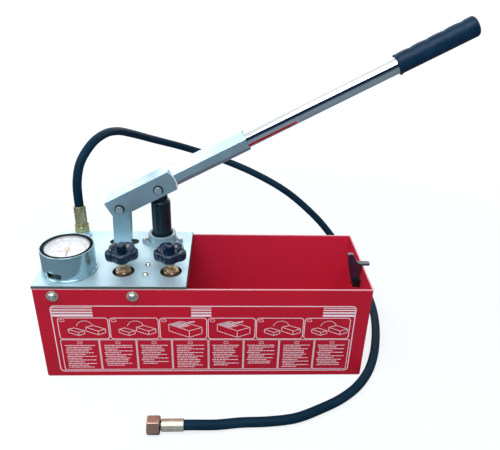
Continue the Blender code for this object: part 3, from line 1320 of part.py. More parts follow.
def make_link(axis):
    """The flat link from the back pin to the fulcrum pin, with a boss on the back pin; heights are from it."""
    radius = LINK_WIDTH / 2
    loop = arc((0.0, 0.0), radius, 0.0, 180.0, 10) + arc((0.0, -LINK_LENGTH), radius, 180.0, 360.0, 10)
    link = plate("link", [loop], LINK_THICK, turn=(90.0, 0.0, 0.0), parent=axis)
    join(link, rods("link_boss", [(0.0, 0.0, 0.0)], BOSS_RADIUS, BOSS_LENGTH, "Y", parent=axis))
    upper = rods("link_pin_hole", [(0.0, 0.0, 0.0)], PIN_RADIUS + CLEAR, BOSS_LENGTH + OVERRUN, "Y", parent=axis)
    lower = rods("link_foot_hole", [(0.0, 0.0, -LINK_LENGTH)], FULCRUM_PIN_RADIUS + CLEAR, LINK_THICK + OVERRUN, "Y",
                 parent=axis)
    cut(link, upper, lower)
    return finish(link, "grey_cast")


def make_fulcrum_pin(axis):
    """The pin in the link's foot, which reaches through the bracket's windows."""
    reach = LINK_THICK / 2 + BRACKET_CHEEK_GAP + BRACKET_CHEEK_THICK + FULCRUM_PIN_PROUD
    pin = rods("fulcrum_pin", [(0.0, 0.0, -LINK_LENGTH)], FULCRUM_PIN_RADIUS, 2 * reach, "Y", parent=axis)
    return finish(pin, "steel")


def make_fulcrum_bracket():
    """Two cheeks under a slotted plate, welded under the deck; each cheek has a window for the pin."""
    cheek_in = LINK_THICK / 2 + BRACKET_CHEEK_GAP
    cheek_out = cheek_in + BRACKET_CHEEK_THICK
    half_x = LINK_SLOT_LENGTH / 2 + BRACKET_MARGIN
    low = UNDER_DECK - BRACKET_TOP_THICK
    side = cheek_out + BRACKET_SIDE
    bracket = block("fulcrum_bracket", (LINK_SLOT_X - half_x, LINK_SLOT_X + half_x), (LINE_Y - side, LINE_Y + side),
                    (low, UNDER_DECK))
    reach_x = BRACKET_WINDOW_WIDTH / 2
    reach_z = BRACKET_WINDOW_HEIGHT / 2
    window_x = FULCRUM_X + BRACKET_WINDOW_SHIFT
    window_z = FULCRUM_Z + BRACKET_WINDOW_RISE
    for sign in (-1.0, 1.0):
        outer = rounded(rectangle((window_x - reach_x - BRACKET_RIM, window_x + reach_x + BRACKET_RIM),
                                  (window_z - reach_z - BRACKET_RIM, low + BRACKET_TOP_THICK / 2)),
                        BRACKET_TOP_THICK / 2, CORNER_STEPS)
        inner = rounded(rectangle((window_x - reach_x, window_x + reach_x),
                                  (window_z - reach_z, window_z + reach_z)), BRACKET_CORNER, CORNER_STEPS)
        middle = LINE_Y + sign * (cheek_in + cheek_out) / 2
        join(bracket, plate("bracket_cheek", [outer, inner], BRACKET_CHEEK_THICK, at=(0.0, middle, 0.0),
                            turn=(90.0, 0.0, 0.0)))
    depth = BRACKET_TOP_THICK + 2 * OVERRUN
    slot = plate("bracket_slot", [stadium((LINK_SLOT_X, LINE_Y), LINK_SLOT_LENGTH, 2 * cheek_in, 8)], depth,
                 at=(0.0, 0.0, UNDER_DECK - BRACKET_TOP_THICK / 2))
    cut(bracket, slot)
    return finish(bracket, "grey_cast")


# Pipes under the deck

def make_transfer_pipe():
    """The pipe from the cylinder's foot up to the valve block's underside."""
    low = CYLINDER_BOTTOM + TRANSFER_PORT_RISE
    start_y = LINE_Y - CYLINDER_RADIUS - CLEAR
    rise_y = BLOCK_REAR_Y - TRANSFER_PORT_INSET
    corners = [(PISTON_X, start_y, low), (PISTON_X, rise_y, low), (PISTON_X, rise_y, BLOCK_BOTTOM - CLEAR)]
    points = rounded(corners, PIPE_BEND, PIPE_BEND_STEPS, closed=False)
    return finish(tube("transfer_pipe", points, TRANSFER_PIPE_RADIUS), "copper")


def make_gauge_pipe():
    """The straight pipe from the valve block's end to the gauge's stem."""
    height = DECK_UNDER - GAUGE_STEM_BELOW_DECK + GAUGE_PIPE_RISE
    points = [(BLOCK_LEFT - CLEAR, GAUGE_Y, height), (GAUGE_X + GAUGE_STEM_RADIUS + CLEAR, GAUGE_Y, height)]
    return finish(tube("gauge_pipe", points, PIPE_RADIUS), "copper")


def make_outlet_pipe():
    """The pipe from the valve block's end round the fulcrum bracket and up into the outlet."""
    height = DECK_UNDER - PIPE_BELOW_DECK
    port_y = BLOCK_REAR_Y - OUTLET_PIPE_PORT_INSET
    lane_x = BLOCK_LEFT - OUTLET_PIPE_LANE
    top = ON_DECK - OUTLET_STEM_DEPTH
    corners = [(BLOCK_LEFT - CLEAR, port_y, height), (lane_x, port_y, height), (lane_x, OUTLET_Y, height),
               (OUTLET_X, OUTLET_Y, height), (OUTLET_X, OUTLET_Y, top)]
    points = rounded(corners, PIPE_BEND, PIPE_BEND_STEPS, closed=False)
    return finish(tube("outlet_pipe", points, PIPE_RADIUS), "copper")


# Outlet, hose and fittings

def make_outlet_fitting():
    """The stepped fitting on the deck, bored for the outlet pipe and threaded for the hose nut."""
    low = ON_DECK
    base_top = low + OUTLET_BASE_HEIGHT
    neck_top = OUTLET_TOP + OUTLET_NECK_HEIGHT
    stem_low = DECK_TOP - OUTLET_STEM_DEPTH
    port = PIPE_RADIUS
    fitting = turned("outlet_fitting", [
        (OUTLET_NECK_RADIUS, neck_top), (OUTLET_NECK_RADIUS, OUTLET_TOP), (OUTLET_STEP_RADIUS, OUTLET_TOP),
        (OUTLET_STEP_RADIUS, base_top), (OUTLET_BASE_RADIUS, base_top), (OUTLET_BASE_RADIUS, low),
        (OUTLET_STEM_RADIUS, low), (OUTLET_STEM_RADIUS, stem_low + 2 * CLEAR), (port, stem_low + 2 * CLEAR),
        (port, neck_top)], ROUND_SIDES, at=(OUTLET_X, OUTLET_Y, 0.0))
    return finish(fitting, "zinc_plate")


def make_hose_nut():
    """The nut that holds the hose on the outlet: a hex with a coned collar."""
    hex_top = HOSE_NUT_BOTTOM + HOSE_NUT_HEX_HEIGHT
    axis_place = {"at": (OUTLET_X, OUTLET_Y, 0.0), "turn": (0.0, 0.0, HOSE_NUT_TURN)}
    nut = hexagon("hose_nut", [(0.0, 0.0, (HOSE_NUT_BOTTOM + hex_top) / 2)], HOSE_NUT_FLATS, HOSE_NUT_HEX_HEIGHT,
                  **axis_place)
    cone_low = (HOSE_NUT_BOTTOM + hex_top) / 2
    cone = turned("hose_nut_cone", [
        (0.0, HOSE_NUT_TOP), (HOSE_NUT_CONE_RADIUS, HOSE_NUT_TOP), (HOSE_NUT_FLATS / 2 - CLEAR, hex_top),
        (HOSE_NUT_FLATS / 2 - CLEAR, cone_low), (0.0, cone_low)], ROUND_SIDES, **axis_place)
    join(nut, cone)
    height = HOSE_NUT_TOP - HOSE_NUT_BOTTOM
    cut(nut, rods("hose_nut_bore", [(0.0, 0.0, HOSE_NUT_BOTTOM + height / 2)], OUTLET_NECK_RADIUS + CLEAR,
                  height + OVERRUN, sides=ROUND_SIDES, **axis_place))
    return finish(nut, "yellow_zinc")


def make_near_ferrule():
    """The fluted crimp ferrule over a tail that stands in the hose nut."""
    count = FERRULE_FLUTES * FERRULE_FLUTE_STEPS
    top = FERRULE_BOTTOM + FERRULE_LENGTH
    fluted_top = top - FERRULE_RIM
    loop = []
    for index in range(count):
        angle = math.tau * index / count
        reach = FERRULE_RADIUS - FERRULE_FLUTE * (1.0 + math.cos(FERRULE_FLUTES * angle)) / 2
        loop.append((reach * math.cos(angle), reach * math.sin(angle)))
    shell = plate("near_ferrule", [loop], fluted_top - FERRULE_BOTTOM,
                  at=(OUTLET_X, OUTLET_Y, (FERRULE_BOTTOM + fluted_top) / 2))
    tail_low = OUTLET_TOP + OUTLET_NECK_HEIGHT + CLEAR
    middle = (FERRULE_BOTTOM + fluted_top) / 2
    core = turned("ferrule_core", [
        (0.0, top), (FERRULE_RADIUS - FERRULE_FLUTE / 2, top), (FERRULE_RADIUS - FERRULE_FLUTE / 2, fluted_top),
        (HOSE_RADIUS, fluted_top - FERRULE_RIM), (HOSE_RADIUS, middle), (OUTLET_NECK_RADIUS, middle),
        (OUTLET_NECK_RADIUS, tail_low), (0.0, tail_low)], ROUND_SIDES, at=(OUTLET_X, OUTLET_Y, 0.0))
    join(shell, core)
    return finish(shell, "yellow_zinc")


def make_hose():
    """The rubber hose on its smooth route."""
    middle = smooth_route(HOSE_ROUTE, HOSE_SPACING)
    points = [Vector(HOSE_ROUTE[0])] + middle + [Vector(HOSE_ROUTE[-1])]
    return finish(tube("hose", points, HOSE_RADIUS), "black_rubber")


def make_far_ferrule():
    """The plain ferrule at the hose's far end."""
    edge = FAR_FERRULE_EDGE
    length = FAR_FERRULE_LENGTH
    ferrule = turned("far_ferrule", [
        (0.0, 0.0), (FAR_FERRULE_RADIUS - edge, 0.0), (FAR_FERRULE_RADIUS, -edge),
        (FAR_FERRULE_RADIUS, edge - length), (FAR_FERRULE_RADIUS - edge, -length), (0.0, -length)],
        ROUND_SIDES, at=(FAR_END_X, FAR_END_Y, FAR_AXIS_Z), turn=(0.0, 90.0, 0.0))
    return finish(ferrule, "yellow_zinc")


def far_nut_right():
    """The far nut's end towards the hose, along X."""
    return FAR_END_X - FAR_FERRULE_LENGTH - FAR_NECK_GAP


def make_far_tail():
    """The tail with a wide head that the far nut turns on."""
    start = FAR_END_X - FAR_FERRULE_LENGTH - CLEAR
    head = far_nut_right() - FAR_NUT_END_WALL - CLEAR
    neck_length = start - head
    tail = turned("far_tail", [
        (FAR_NECK_RADIUS, 0.0), (FAR_NECK_RADIUS, -neck_length), (FAR_HEAD_RADIUS, -neck_length),
        (FAR_HEAD_RADIUS, -neck_length - FAR_HEAD_LENGTH), (FAR_TAIL_BORE_RADIUS, -neck_length - FAR_HEAD_LENGTH),
        (FAR_TAIL_BORE_RADIUS, 0.0)], SMALL_SIDES, at=(start, FAR_END_Y, FAR_AXIS_Z), turn=(0.0, 90.0, 0.0))
    return finish(tail, "steel")


def make_far_nut():
    """The swivel nut, flat on the floor, with chamfered corners and a bore open to its free end."""
    right = far_nut_right()
    left = right - FAR_NUT_LENGTH
    axis = make_empty("far_nut_axis", ((left + right) / 2, FAR_END_Y, FAR_AXIS_Z))
    half = FAR_NUT_LENGTH / 2
    nut = hexagon("far_nut", [(0.0, 0.0, 0.0)], FAR_NUT_FLATS, FAR_NUT_LENGTH, "X", parent=axis)
    corner = FAR_NUT_FLATS / math.sqrt(3.0) + CLEAR
    narrow = corner - FAR_NUT_CHAMFER
    short = FAR_NUT_CHAMFER / 2
    chamfer = turned("far_nut_chamfer", [
        (0.0, half + short), (2 * narrow - corner, half + short), (corner, half - short), (corner, short - half),
        (2 * narrow - corner, -half - short), (0.0, -half - short)],
        ROUND_SIDES, turn=(0.0, 90.0, 0.0), parent=axis)
    combine(nut, "INTERSECT", [chamfer])
    bore_length = FAR_NUT_LENGTH - FAR_NUT_END_WALL + OVERRUN
    bore = rods("far_nut_bore", [(half - FAR_NUT_END_WALL - bore_length / 2, 0.0, 0.0)], FAR_NUT_BORE_RADIUS,
                bore_length, "X", ROUND_SIDES, parent=axis)
    hole = rods("far_nut_hole", [(half, 0.0, 0.0)], FAR_NECK_RADIUS + CLEAR, 2 * FAR_NUT_END_WALL + OVERRUN, "X",
                parent=axis)
    cut(nut, bore, hole)
    return finish(nut, "copper")


# Lever catch

def make_catch_bracket():
    """A plate welded to the end wall's inside with two cheeks that carry the catch's pin."""
    wall = TANK_RIGHT - TANK_WALL - CLEAR
    face = wall - CATCH_PLATE_THICK
    low = CATCH_PIVOT_Z - CATCH_PLATE_DROP
    half = CATCH_PLATE_WIDTH / 2
    bracket = block("catch_bracket", (face, wall), (CATCH_Y - half, CATCH_Y + half), (low, low + CATCH_PLATE_HEIGHT))
    inner = CATCH_THICK / 2 + CLEAR
    for sign in (-1.0, 1.0):
        ys = sorted((CATCH_Y + sign * inner, CATCH_Y + sign * (inner + CATCH_CHEEK_THICK)))
        lean = block("catch_cheek", (CATCH_X - CATCH_CHEEK_REACH, face + CATCH_PLATE_THICK / 2), ys,
                     (low, low + CATCH_PLATE_HEIGHT))
        join(bracket, lean)
    across = CATCH_THICK + 2 * CATCH_CHEEK_THICK + 2 * OVERRUN
    pin = rods("catch_pin_hole", [(CATCH_X, CATCH_Y, CATCH_PIVOT_Z)], CATCH_PIN_RADIUS + CLEAR, across, "Y")
    cut(bracket, pin)
    return finish(bracket, "black_oxide")


def make_catch_pin():
    """The catch's pin, in the bracket's cheeks."""
    length = CATCH_THICK + 2 * CATCH_CHEEK_THICK + 2 * CLEAR
    pin = rods("catch_pin", [(CATCH_X, CATCH_Y, CATCH_PIVOT_Z)], CATCH_PIN_RADIUS, length, "Y")
    return finish(pin, "steel")


def make_lever_catch():
    """The hooked catch with a thumb tab over the rim, on the axis of its pin."""
    axis = make_empty("catch_axis", (CATCH_X, CATCH_Y, CATCH_PIVOT_Z))
    loop = [(x * CATCH_REACH, z * CATCH_HEIGHT) for x, z in CATCH_OUTLINE_SHARES]
    loop += arc((0.0, 0.0), CATCH_BOSS_RADIUS, 190.0, 350.0, 8)
    catch = plate("lever_catch", [loop], CATCH_THICK, turn=(90.0, 0.0, 0.0), parent=axis)
    low = TANK_HEIGHT + CLEAR - CATCH_PIVOT_Z
    half = CATCH_TAB_DEPTH / 2
    tab = block("catch_tab", (CATCH_TAB_START, CATCH_FROM_END + CATCH_TAB_BEYOND_WALL), (-half, half),
                (low, low + CATCH_TAB_THICK), CATCH_TAB_THICK / 4, parent=axis)
    join(catch, tab)
    cut(catch, rods("catch_bore", [(0.0, 0.0, 0.0)], CATCH_PIN_RADIUS + CLEAR, CATCH_THICK + OVERRUN, "Y",
                    parent=axis))
    return finish(catch, "black_plastic")


# The whole pump

def main():
    """Builds every piece, from the tank up."""
    make_tank()
    make_deck_plate()
    make_deck_bolts()
    make_valve_block()
    make_body_screws()
    for side, x, turn in (("left", LEFT_VALVE_X, LEFT_KNOB_TURN), ("right", RIGHT_VALVE_X, RIGHT_KNOB_TURN)):
        make_packing_nut(side, x)
        make_spindle(side, x)
        make_knob(side, x, turn)
        make_knob_cap(side, x)
    make_gauge_cup()
    make_gauge_case()
    make_gauge_seal()
    make_gauge_stem()
    make_gauge_nut()
    make_bourdon_tube()
    make_gauge_dial()
    make_gauge_pointer()
    make_gauge_glass()
    make_guide_collar()
    make_guide_screws()
    make_wiper_ring()
    make_cylinder()
    make_foot_valve()
    make_inlet_ball()
    make_strainer()
    front_pin = make_empty("front_pin_axis", (PISTON_X, LINE_Y, PIN_Z))
    make_piston(front_pin)
    make_piston_seal(front_pin)
    make_seal_retainer(front_pin)
    lever = make_empty("lever_axis", (PISTON_X, LINE_Y, PIN_Z), (0.0, -LEVER_ANGLE, 0.0))
    make_lever_fork(lever)
    make_lever_tube(lever)
    make_lever_grip(lever)
    for name, along in (("front", 0.0), ("back", -PIN_SPACING)):
        make_lever_pin(lever, name + "_pin", along)
        make_pin_clip(lever, name + "_pin_clip", along)
    back_pin = make_empty("back_pin_axis", (BACK_PIN_X, LINE_Y, BACK_PIN_Z), (0.0, LINK_TILT, 0.0))
    make_link(back_pin)
    make_fulcrum_pin(back_pin)
    make_fulcrum_bracket()
    make_transfer_pipe()
    make_gauge_pipe()
    make_outlet_pipe()
    make_outlet_fitting()
    make_hose_nut()
    make_near_ferrule()
    make_hose()
    make_far_ferrule()
    make_far_tail()
    make_far_nut()
    make_catch_bracket()
    make_catch_pin()
    make_lever_catch()


for leftover in list(bpy.data.objects):
    bpy.data.objects.remove(leftover, do_unlink=True)
PARTS = make_collection(OBJECT_NAME)
CUTTERS = make_collection("cutters")
main()
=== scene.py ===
"""Hand-lever hydrostatic test pump on a sheet-steel water tank, dressed for its picture.

Metres, +Z up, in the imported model's frame: the origin is the middle of the tank's underside,
+X runs along the tank from the gauge to the lever catch, and -Y is the printed side.
"""
import logging
import math
from dataclasses import dataclass
from enum import Enum
from functools import reduce
from itertools import accumulate
from typing import Any, Sequence

import bmesh
import bpy
import numpy as np
from mathutils import Matrix, Vector


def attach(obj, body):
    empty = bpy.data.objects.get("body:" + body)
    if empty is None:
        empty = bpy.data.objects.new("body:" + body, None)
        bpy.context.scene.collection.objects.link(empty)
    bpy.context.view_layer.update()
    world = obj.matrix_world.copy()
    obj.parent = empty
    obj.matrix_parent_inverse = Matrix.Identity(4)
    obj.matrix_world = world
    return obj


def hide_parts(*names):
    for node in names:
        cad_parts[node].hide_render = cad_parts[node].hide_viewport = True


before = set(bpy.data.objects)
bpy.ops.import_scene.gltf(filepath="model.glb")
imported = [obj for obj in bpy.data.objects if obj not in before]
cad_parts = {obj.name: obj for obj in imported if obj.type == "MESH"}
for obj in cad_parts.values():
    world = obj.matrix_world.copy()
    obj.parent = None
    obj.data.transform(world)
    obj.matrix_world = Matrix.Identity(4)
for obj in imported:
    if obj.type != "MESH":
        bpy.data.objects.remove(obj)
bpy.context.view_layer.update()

LOG = logging.getLogger("test_pump")
Array = np.ndarray
Point = tuple[float, float, float]
Pair = tuple[float, float]
Tree = bpy.types.NodeTree
Node = bpy.types.Node
Socket = bpy.types.NodeSocket
Piece = bpy.types.Object


class Body(Enum):
    """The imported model's bodies."""

    PUMP = "pump_body"
    PISTON = "piston_set"
    LEVER = "lever_set"
    LINK = "link_set"
    LEFT_SPINDLE = "left_spindle_set"
    LEFT_KNOB = "left_knob_set"
    RIGHT_SPINDLE = "right_spindle_set"
    RIGHT_KNOB = "right_knob_set"
    POINTER = "pointer_set"
    BALL = "ball_set"
    CATCH = "catch_set"
    FAR_NUT = "far_nut_set"


# Finishes

def srgb(code: str) -> tuple[float, float, float, float]:
    """The linear colour of an sRGB hex code.

    Args:
        code: The colour as "#RRGGBB".

    Returns:
        Linear red, green and blue, and an alpha of 1.
    """
    shares = np.array([int(code[start:start + 2], 16) for start in (1, 3, 5)]) / 255.0
    linear = np.where(shares <= 0.04045, shares / 12.92, ((shares + 0.055) / 1.055) ** 2.4)
    return (*linear.tolist(), 1.0)


def add(tree: Tree, kind: str, inputs: dict | None = None, **settings: Any) -> Node:
    """Adds one shader node with its settings and links.

    Args:
        tree: The material's or world's node tree.
        kind: The node's type without its "ShaderNode" prefix.
        inputs: What each input takes, by name or number: a socket, a node's first output, or a value.
        settings: The node's own properties.

    Returns:
        The new node.
    """
    node = tree.nodes.new("ShaderNode" + kind)
    for name, value in settings.items():
        setattr(node, name, value)
    for key, value in (inputs or {}).items():
        value = value.outputs[0] if isinstance(value, Node) else value
        if isinstance(value, Socket):
            tree.links.new(value, node.inputs[key])
        else:
            node.inputs[key].default_value = value
    return node


def per_metre(size_mm: float) -> float:
    """How many features of a size in millimetres lie in a metre."""
    return 1000.0 / size_mm


@dataclass(frozen=True)
class Finish:
    """A surface that is one colour with clouds of a second, and a fine relief."""

    name: str
    slot: str
    colour: str
    second: str
    roughness: float
    metallic: float = 0.0
    cloud_mm: float = 5.0
    cloud_share: float = 0.5
    grain_mm: float = 0.5
    relief_mm: float = 0.01
    rough_spread: float = 0.08
    stretch: Point = (1.0, 1.0, 1.0)
    coat: float = 0.0
    coat_roughness: float = 0.1
    specular: float = 0.5

    def material(self) -> bpy.types.Material:
        """The finish's material, made the first time it is asked for."""
        found = bpy.data.materials.get(self.name)
        if found is not None:
            return found
        material = bpy.data.materials.new(self.name)
        material.use_nodes = True
        tree = material.node_tree
        shader = tree.nodes["Principled BSDF"]
        shader.inputs["Metallic"].default_value = self.metallic
        shader.inputs["Specular IOR Level"].default_value = self.specular
        shader.inputs["Coat Weight"].default_value = self.coat
        shader.inputs["Coat Roughness"].default_value = self.coat_roughness
        place = add(tree, "TexCoord").outputs["Object"]
        self.dress(tree, shader, place)
        return material

    def dress(self, tree: Tree, shader: Node, place: Socket) -> None:
        """Links clouds to the colour and roughness, and a grain to the relief.

        Args:
            tree: The material's node tree.
            shader: Its Principled node.
            place: Object coordinates, in metres.
        """
        cloud = self.clouds(tree, place)
        tree.links.new(self.clouded(tree, cloud), shader.inputs["Base Color"])
        self.link_roughness(tree, shader, cloud)
        tree.links.new(self.relief(tree, place), shader.inputs["Normal"])

    def clouded(self, tree: Tree, cloud: Socket) -> Socket:
        """The first colour, with the second where the clouds are."""
        both = add(tree, "Mix", {0: cloud, 6: srgb(self.colour), 7: srgb(self.second)}, data_type="RGBA")
        return both.outputs[2]

    def clouds(self, tree: Tree, place: Socket) -> Socket:
        """A soft mask from 0 to the clouds' share, as large as the clouds."""
        noise = add(tree, "TexNoise", {"Vector": place, "Scale": per_metre(self.cloud_mm), "Detail": 5.0})
        mask = add(tree, "MapRange", {"Value": noise.outputs["Fac"], "From Min": 0.32, "From Max": 0.7,
                                      "To Max": self.cloud_share}, interpolation_type="SMOOTHSTEP")
        return mask.outputs[0]

    def link_roughness(self, tree: Tree, shader: Node, mask: Socket) -> None:
        """Spreads the roughness by the mask, about the finish's own."""
        spread = add(tree, "MapRange", {"Value": mask, "To Min": self.roughness - self.rough_spread / 2,
                                        "To Max": self.roughness + self.rough_spread})
        tree.links.new(spread.outputs[0], shader.inputs["Roughness"])

    def relief(self, tree: Tree, place: Socket) -> Socket:
        """The normal of a noise relief, stretched along the directions in which it was worked."""
        mapping = add(tree, "Mapping", {"Vector": place, "Scale": self.stretch})
        noise = add(tree, "TexNoise", {"Vector": mapping, "Scale": per_metre(self.grain_mm), "Detail": 3.0})
        bump = add(tree, "Bump", {
            "Height": noise.outputs["Fac"], "Strength": 1.0, "Distance": self.relief_mm / 1000.0})
        return bump.outputs[0]


@dataclass(frozen=True)
class PowderCoat(Finish):
    """Powder coat on folded sheet: orange peel over slack waves, a painted highlight along the rim, and a paler
    red inside as painted light.
    """

    inner_half_length: float = 0.2492
    inner_half_width: float = 0.0842
    # Painted light: the inside is a paler red, because less light reaches it.
    inside_light_colour: str = "#CC2843"
    # Painted highlight: pale along the rim from this height up, its lower edge made ragged by a noise.
    rim_height: float = 0.1658
    rim_fade: float = 0.0012
    rim_highlight_share: float = 0.75
    rim_highlight_colour: str = "#E9B4BC"
    rim_ragged_mm: float = 6.0
    wave_mm: float = 90.0
    wave_relief_mm: float = 0.5

    def dress(self, tree: Tree, shader: Node, place: Socket) -> None:
        """Adds the rim's painted highlight and the inside's painted light over the clouded colour, and the
        sheet's waves under its orange peel.
        """
        cloud = self.clouds(tree, place)
        thick = self.clouded(tree, cloud)
        height = add(tree, "SeparateXYZ", {0: place}).outputs["Z"]
        # The rim's painted highlight, its lower edge ragged by a noise.
        rim_ragged_noise = add(tree, "TexNoise", {"Vector": place, "Scale": per_metre(self.rim_ragged_mm), "Detail": 4.0})
        ragged = add(tree, "Math", {0: rim_ragged_noise.outputs["Fac"], 1: self.rim_fade, 2: height},
                     operation="MULTIPLY_ADD")
        rim = add(tree, "MapRange", {"Value": ragged, "From Min": self.rim_height,
                                     "From Max": self.rim_height + self.rim_fade, "To Max": self.rim_highlight_share})
        # Painted light: a paler red between the walls, where less light reaches.
        thin = add(tree, "Mix", {0: self.inside(tree, place), 6: thick, 7: srgb(self.inside_light_colour)},
                   data_type="RGBA")
        highlighted_rim = add(tree, "Mix", {0: rim, 6: thin.outputs[2], 7: srgb(self.rim_highlight_colour)}, data_type="RGBA")
        tree.links.new(highlighted_rim.outputs[2], shader.inputs["Base Color"])
        self.link_roughness(tree, shader, cloud)
        waves = add(tree, "TexNoise", {"Vector": place, "Scale": per_metre(self.wave_mm), "Detail": 1.0})
        peel = self.relief(tree, place)
        sheet = add(tree, "Bump", {"Height": waves.outputs["Fac"], "Strength": 0.6,
                                   "Distance": self.wave_relief_mm / 1000.0, "Normal": peel})
        tree.links.new(sheet.outputs[0], shader.inputs["Normal"])

    def inside(self, tree: Tree, place: Socket) -> Socket:
        """A mask that is 1 between the walls' inner faces and 0 outside."""
        ways = add(tree, "SeparateXYZ", {0: place}).outputs
        along = add(tree, "Math", {0: ways["X"]}, operation="ABSOLUTE").outputs[0]
        across = add(tree, "Math", {0: ways["Y"]}, operation="ABSOLUTE").outputs[0]
        ends = add(tree, "Math", {0: along, 1: self.inner_half_length}, operation="LESS_THAN").outputs[0]
        sides = add(tree, "Math", {0: across, 1: self.inner_half_width}, operation="LESS_THAN").outputs[0]
        return add(tree, "Math", {0: ends, 1: sides}, operation="MULTIPLY").outputs[0]


@dataclass(frozen=True)
class ShadedEdgeSheet(Finish):
    """Plated sheet darkened below its broken upper corner, as painted shade where the sheet faces front and
    down.
    """

    edge_top: float = 0.1713
    edge_fade: float = 0.0002
    edge_shade_colour: str = "#5F716C"

    def dress(self, tree: Tree, shader: Node, place: Socket) -> None:
        """Darkens everything below the edge's height, as painted shade."""
        super().dress(tree, shader, place)
        plated = shader.inputs["Base Color"].links[0].from_socket
        height = add(tree, "SeparateXYZ", {0: place}).outputs["Z"]
        above = add(tree, "MapRange", {"Value": height, "From Min": self.edge_top - self.edge_fade,
                                       "From Max": self.edge_top + self.edge_fade})
        both = add(tree, "Mix", {0: above, 6: srgb(self.edge_shade_colour), 7: plated}, data_type="RGBA")
        tree.links.new(both.outputs[2], shader.inputs["Base Color"])


@dataclass(frozen=True)
class HoseCover(Finish):
    """Cloth-wrapped rubber: the wrap leaves fine crossing ribs that follow the hose."""

    rib_mm: float = 2.2
    around: int = 24

    def dress(self, tree: Tree, shader: Node, place: Socket) -> None:
        """Links clouds by place, and ribs by the hose's own UV map, whose V is in metres along it."""
        cloud = self.clouds(tree, place)
        tree.links.new(self.clouded(tree, cloud), shader.inputs["Base Color"])
        self.link_roughness(tree, shader, cloud)
        own = add(tree, "UVMap", uv_map="along").outputs[0]
        turns = add(tree, "Mapping", {"Vector": own, "Scale": (self.around, per_metre(self.rib_mm), 1.0)})
        cloth = add(tree, "TexBrick", {
            "Vector": turns, "Scale": 1.0, "Color1": (1.0, 1.0, 1.0, 1.0),
            "Color2": (0.8, 0.8, 0.8, 1.0), "Mortar": (0.0, 0.0, 0.0, 1.0), "Mortar Size": 0.09,
            "Mortar Smooth": 1.0, "Brick Width": 1.0, "Row Height": 1.0})
        ribs = add(tree, "Bump", {
            "Height": cloth.outputs["Color"], "Strength": 0.7, "Distance": self.relief_mm / 1000.0})
        tree.links.new(ribs.outputs[0], shader.inputs["Normal"])


@dataclass(frozen=True)
class ClearGlass(Finish):
    """Flat gauge glass: clear, with faint finger marks in its roughness."""

    def dress(self, tree: Tree, shader: Node, place: Socket) -> None:
        """Makes it transmit, and lets lamps' rays straight through to the dial."""
        shader.inputs["Base Color"].default_value = srgb(self.colour)
        shader.inputs["Transmission Weight"].default_value = 1.0
        shader.inputs["IOR"].default_value = 1.5
        self.link_roughness(tree, shader, self.clouds(tree, place))
        through = add(tree, "BsdfTransparent", {"Color": srgb(self.colour)})
        lamp_rays = add(tree, "LightPath").outputs["Is Shadow Ray"]
        either = add(tree, "MixShader", {0: lamp_rays, 1: shader, 2: through})
        tree.links.new(either.outputs[0], tree.nodes["Material Output"].inputs["Surface"])


# Powder coat shows a soft gloss with an orange peel about 1.5 mm across.
# Its pale rim is a painted highlight, and its paler inside is painted light.
RED_COAT = PowderCoat(
    "red_powder_coat", "red_enamel", "#BC132D", "#A80F29", 0.34, cloud_mm=120.0, cloud_share=0.6,
    grain_mm=1.5, relief_mm=0.02, specular=0.2)
# Silk-screen ink lies flat and matt on the coat.
WHITE_INK = Finish("white_screen_ink", "red_enamel", "#EDDCE2", "#DCC3CB", 0.5, relief_mm=0.005, specular=0.2)
# Bright zinc plate on rolled sheet: faint streaks along the rolling direction, and painted shade below the
# deck's top.
SHADED_ZINC_SHEET = ShadedEdgeSheet(
    "zinc_sheet_painted_shade", "zinc_plate", "#BCD6E2", "#ADC7D4", 0.42, metallic=0.6, cloud_mm=45.0, grain_mm=0.8,
    relief_mm=0.006, rough_spread=0.12, stretch=(0.06, 1.0, 1.0))
# Zinc plate on turned and cold-headed fasteners is brighter and smoother.
ZINC_SCREW = Finish(
    "zinc_plated_screws", "steel", "#D5DBD6", "#A9B6AE", 0.26, metallic=0.95, cloud_mm=4.0, grain_mm=0.4)
# Olive chromate on the bolts' washers is thicker and duller than the plate on their heads.
OLIVE_ZINC = Finish(
    "olive_chromate_washers", "steel", "#BCC2B2", "#A0A797", 0.40, metallic=0.6, cloud_mm=3.0, grain_mm=0.4,
    relief_mm=0.012)
# Satin enamel with an aluminium flake: grey-blue where it faces down or sideways, pale where lit.
GREY_ENAMEL = Finish(
    "grey_flake_enamel", "grey_paint", "#A6C4CF", "#92B2BF", 0.34, metallic=0.8, cloud_mm=25.0, grain_mm=0.9,
    relief_mm=0.015, rough_spread=0.1)
# Painted highlight: near-white beads along the fork's front edges stand for the light that those edges catch,
# as two thin lines.
EDGE_HIGHLIGHT = Finish(
    "painted_edge_highlight", "steel", "#F1F7F9", "#DFE9ED", 0.35, metallic=0.25, cloud_mm=6.0, grain_mm=0.6)
# The gauge's cup is the same grey over spun sheet, with a wet gloss that mirrors the knobs and deck.
CUP_ENAMEL = Finish(
    "glossy_cup_enamel", "grey_paint", "#A9CBD3", "#93B5BE", 0.19, metallic=0.9, cloud_mm=25.0, grain_mm=1.2,
    relief_mm=0.005, rough_spread=0.06)
# The collar's enamel lies over a rough casting and looks duller; its darker grey is painted shade.
SHADED_GREY_CASTING = Finish(
    "grey_casting_painted_shade", "grey_paint", "#8CA6AE", "#78929B", 0.42, metallic=0.55, cloud_mm=9.0,
    grain_mm=1.4, relief_mm=0.05, rough_spread=0.12)
# Hard chrome on ground tube, with faint smears.
CHROME_TUBE = Finish(
    "bright_chrome_tube", "chrome", "#E8ECEF", "#D3D9DE", 0.07, metallic=1.0, cloud_mm=18.0, relief_mm=0.001,
    rough_spread=0.05)
